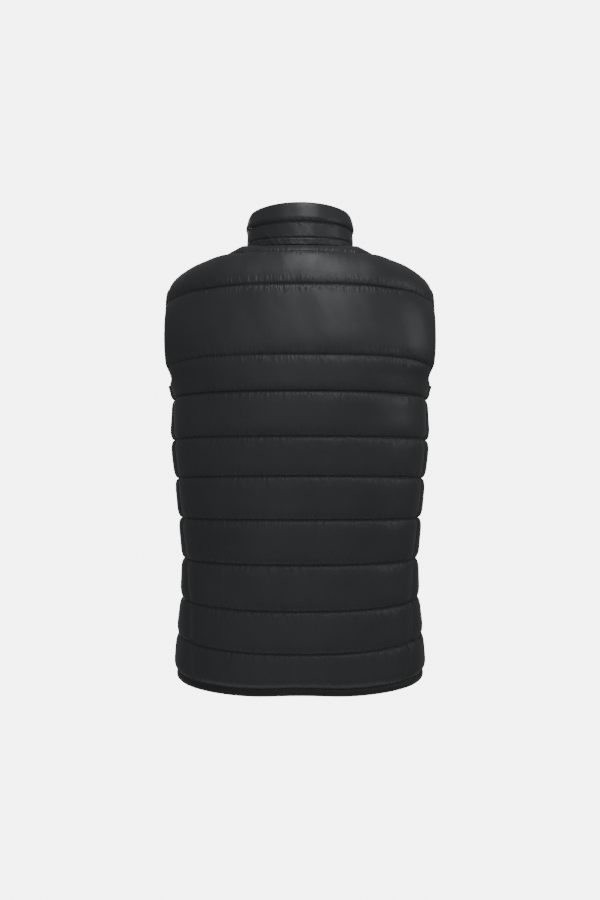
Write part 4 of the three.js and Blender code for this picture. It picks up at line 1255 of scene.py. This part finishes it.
def add_pull():
    """The pull tab: a ring with a round pin, and a tongue with a sunk grip."""
    y = (pull_low[1] + pull_high[1]) / 2
    top, half = pull_high[2], PULL["thickness"] / 2
    ring, hole = PULL["ringHalf"], PULL["holeHalf"]
    bottom_of_hole = top - half - PULL["holeLength"]
    bpy.ops.object.select_all(action="DESELECT")
    bpy.ops.mesh.primitive_cylinder_add(vertices=24, radius=half * MM, depth=2 * ring * MM)
    pin = bpy.context.object

    def lay():
        bpy.ops.transform.rotate(value=math.pi / 2, orient_axis="Y", center_override=(0, 0, 0))
        bpy.ops.transform.translate(value=(0, y * MM, (top - half) * MM))

    in_edit_mode(lay)
    parts = [pin]
    for side in (-1, 1):
        xs = sorted((side * hole, side * ring))
        parts.append(block((xs[0], y - half, bottom_of_hole - 1.5), (xs[1], y + half, top - 0.1), 0.3, 3))
    parts.append(block((-ring, y - half, bottom_of_hole - 2), (ring, y + half, bottom_of_hole), 0.3, 3))
    parts.append(tongue(y, half, bottom_of_hole - 1.2, pull_low[2]))
    joined("zip_pull_tab", parts, lacquer, "pull", "zip_pull")


def tongue(y, half, top, bottom):
    """The tab's flat end, with its outer face sunk inside a rim."""
    wide = TONGUE["half"]
    made = block((-wide, y - half, bottom), (wide, y + half, top), 0.35, 3)
    bpy.ops.object.mode_set(mode="EDIT")
    bpy.ops.mesh.select_all(action="DESELECT")
    bpy.ops.object.mode_set(mode="OBJECT")
    for face in made.data.polygons:
        if face.normal.y < -0.9 and face.area > 20 * MM * MM:
            face.select = True
    bpy.ops.object.mode_set(mode="EDIT")
    bpy.ops.mesh.inset(thickness=TONGUE["rim"] * MM)
    bpy.ops.mesh.inset(thickness=TONGUE["slope"] * MM, depth=-TONGUE["sunk"] * MM)
    bpy.ops.object.mode_set(mode="OBJECT")
    return made


def add_box():
    """The box at the foot of the zip, with a narrow raised face."""
    low = (-FOOT_FACE["half"], box_low[1] + FOOT_FACE["proud"], box_low[2] + FOOT_FACE["foot"])
    high = (FOOT_FACE["half"], box_low[1] + FOOT_FACE["back"], box_high[2] - FOOT_FACE["head"])
    parts = [block(box_low, box_high, 0.6, 3), block(low, high, 0.3, 2)]
    joined("zip_foot_box", parts, lacquer, "vest", "zip_box")


add_slider()
add_pull()
add_box()


# Studio.
FLOOR = {"size": 1.4, "z": -1.4}  # well below the vest, outside the main view
CAMERA = {"place": (0, 1.3, -0.381), "tilt": 92.73, "lens": 33.56}  # as the photograph was taken
AMBIENT = 0.12  # the world's strength as light
WHITE_BACKGROUND = 6.0  # and as seen by the camera


def plain_paper():
    """Matt white paper."""
    return new_material("plain_paper", {"Roughness": 0.9, "Base Color": linear("#ffffff")})[0]


def add_floor():
    bpy.ops.object.select_all(action="DESELECT")
    bpy.ops.mesh.primitive_plane_add(size=FLOOR["size"], location=(0, 0, FLOOR["z"]))
    floor = bpy.context.object
    floor.name = "studio_floor"
    floor.data.materials.append(plain_paper())


def add_area_light(name, place, aim, size, power, glossy=True):
    light = bpy.data.lights.new(name, "AREA")
    light.shape = "RECTANGLE"
    light.size, light.size_y = size
    light.energy = power
    lamp = bpy.data.objects.new(name, light)
    lamp.location = place
    lamp.rotation_euler = (Vector(aim) - Vector(place)).to_track_quat("-Z", "Y").to_euler()
    lamp.visible_glossy = glossy
    bpy.context.scene.collection.objects.link(lamp)


def add_camera():
    data = bpy.data.cameras.new("studio_camera")
    data.sensor_width = 36
    data.lens = CAMERA["lens"]
    camera = bpy.data.objects.new("studio_camera", data)
    camera.location = CAMERA["place"]
    camera.rotation_euler = (math.radians(CAMERA["tilt"]), 0, math.radians(180))
    bpy.context.scene.collection.objects.link(camera)
    bpy.context.scene.camera = camera


def add_world():
    """White all round for the camera, and much weaker as light, so that the black cloth stays dark."""
    world = bpy.data.worlds.new("studio_world")
    world.use_nodes = True
    tree = world.node_tree
    background = tree.nodes["Background"]
    ray = add_node(tree, "ShaderNodeLightPath")
    limits = {"To Min": AMBIENT, "To Max": WHITE_BACKGROUND}
    strength = add_node(tree, "ShaderNodeMapRange", (), limits, [(ray, "Is Camera Ray", "Value")])
    background.inputs["Color"].default_value = (1, 1, 1, 1)
    tree.links.new(strength.outputs["Result"], background.inputs["Strength"])
    bpy.context.scene.world = world


add_floor()
add_world()
# Each light has its place, what it aims at, its size in metres and its power in watts.
add_area_light("overhead_softbox", (-0.06, 0.26, 0.47), (-0.03, 0.1, -0.06), (0.12, 0.26), 0.8)
add_area_light("key_softbox", (-0.2, 0.82, 0.46), (-0.05, 0.1, -0.12), (0.14, 0.36), 1.45)
add_area_light("even_fill", (0.2, 2.8, 0.3), (0, 0, -0.35), (2.4, 2.4), 70, glossy=False)
add_area_light("side_softbox", (-1.5, 0.6, 0.25), (-0.19, 0.02, -0.2), (0.5, 0.8), 3)
add_area_light("front_fill", (0.6, -2.2, 0.6), (0, 0, -0.3), (1.6, 1.6), 34, glossy=False)
add_area_light("front_softbox", (0.5, -1.7, 0.1), (0, 0, -0.3), (0.6, 1.2), 5)
add_camera()
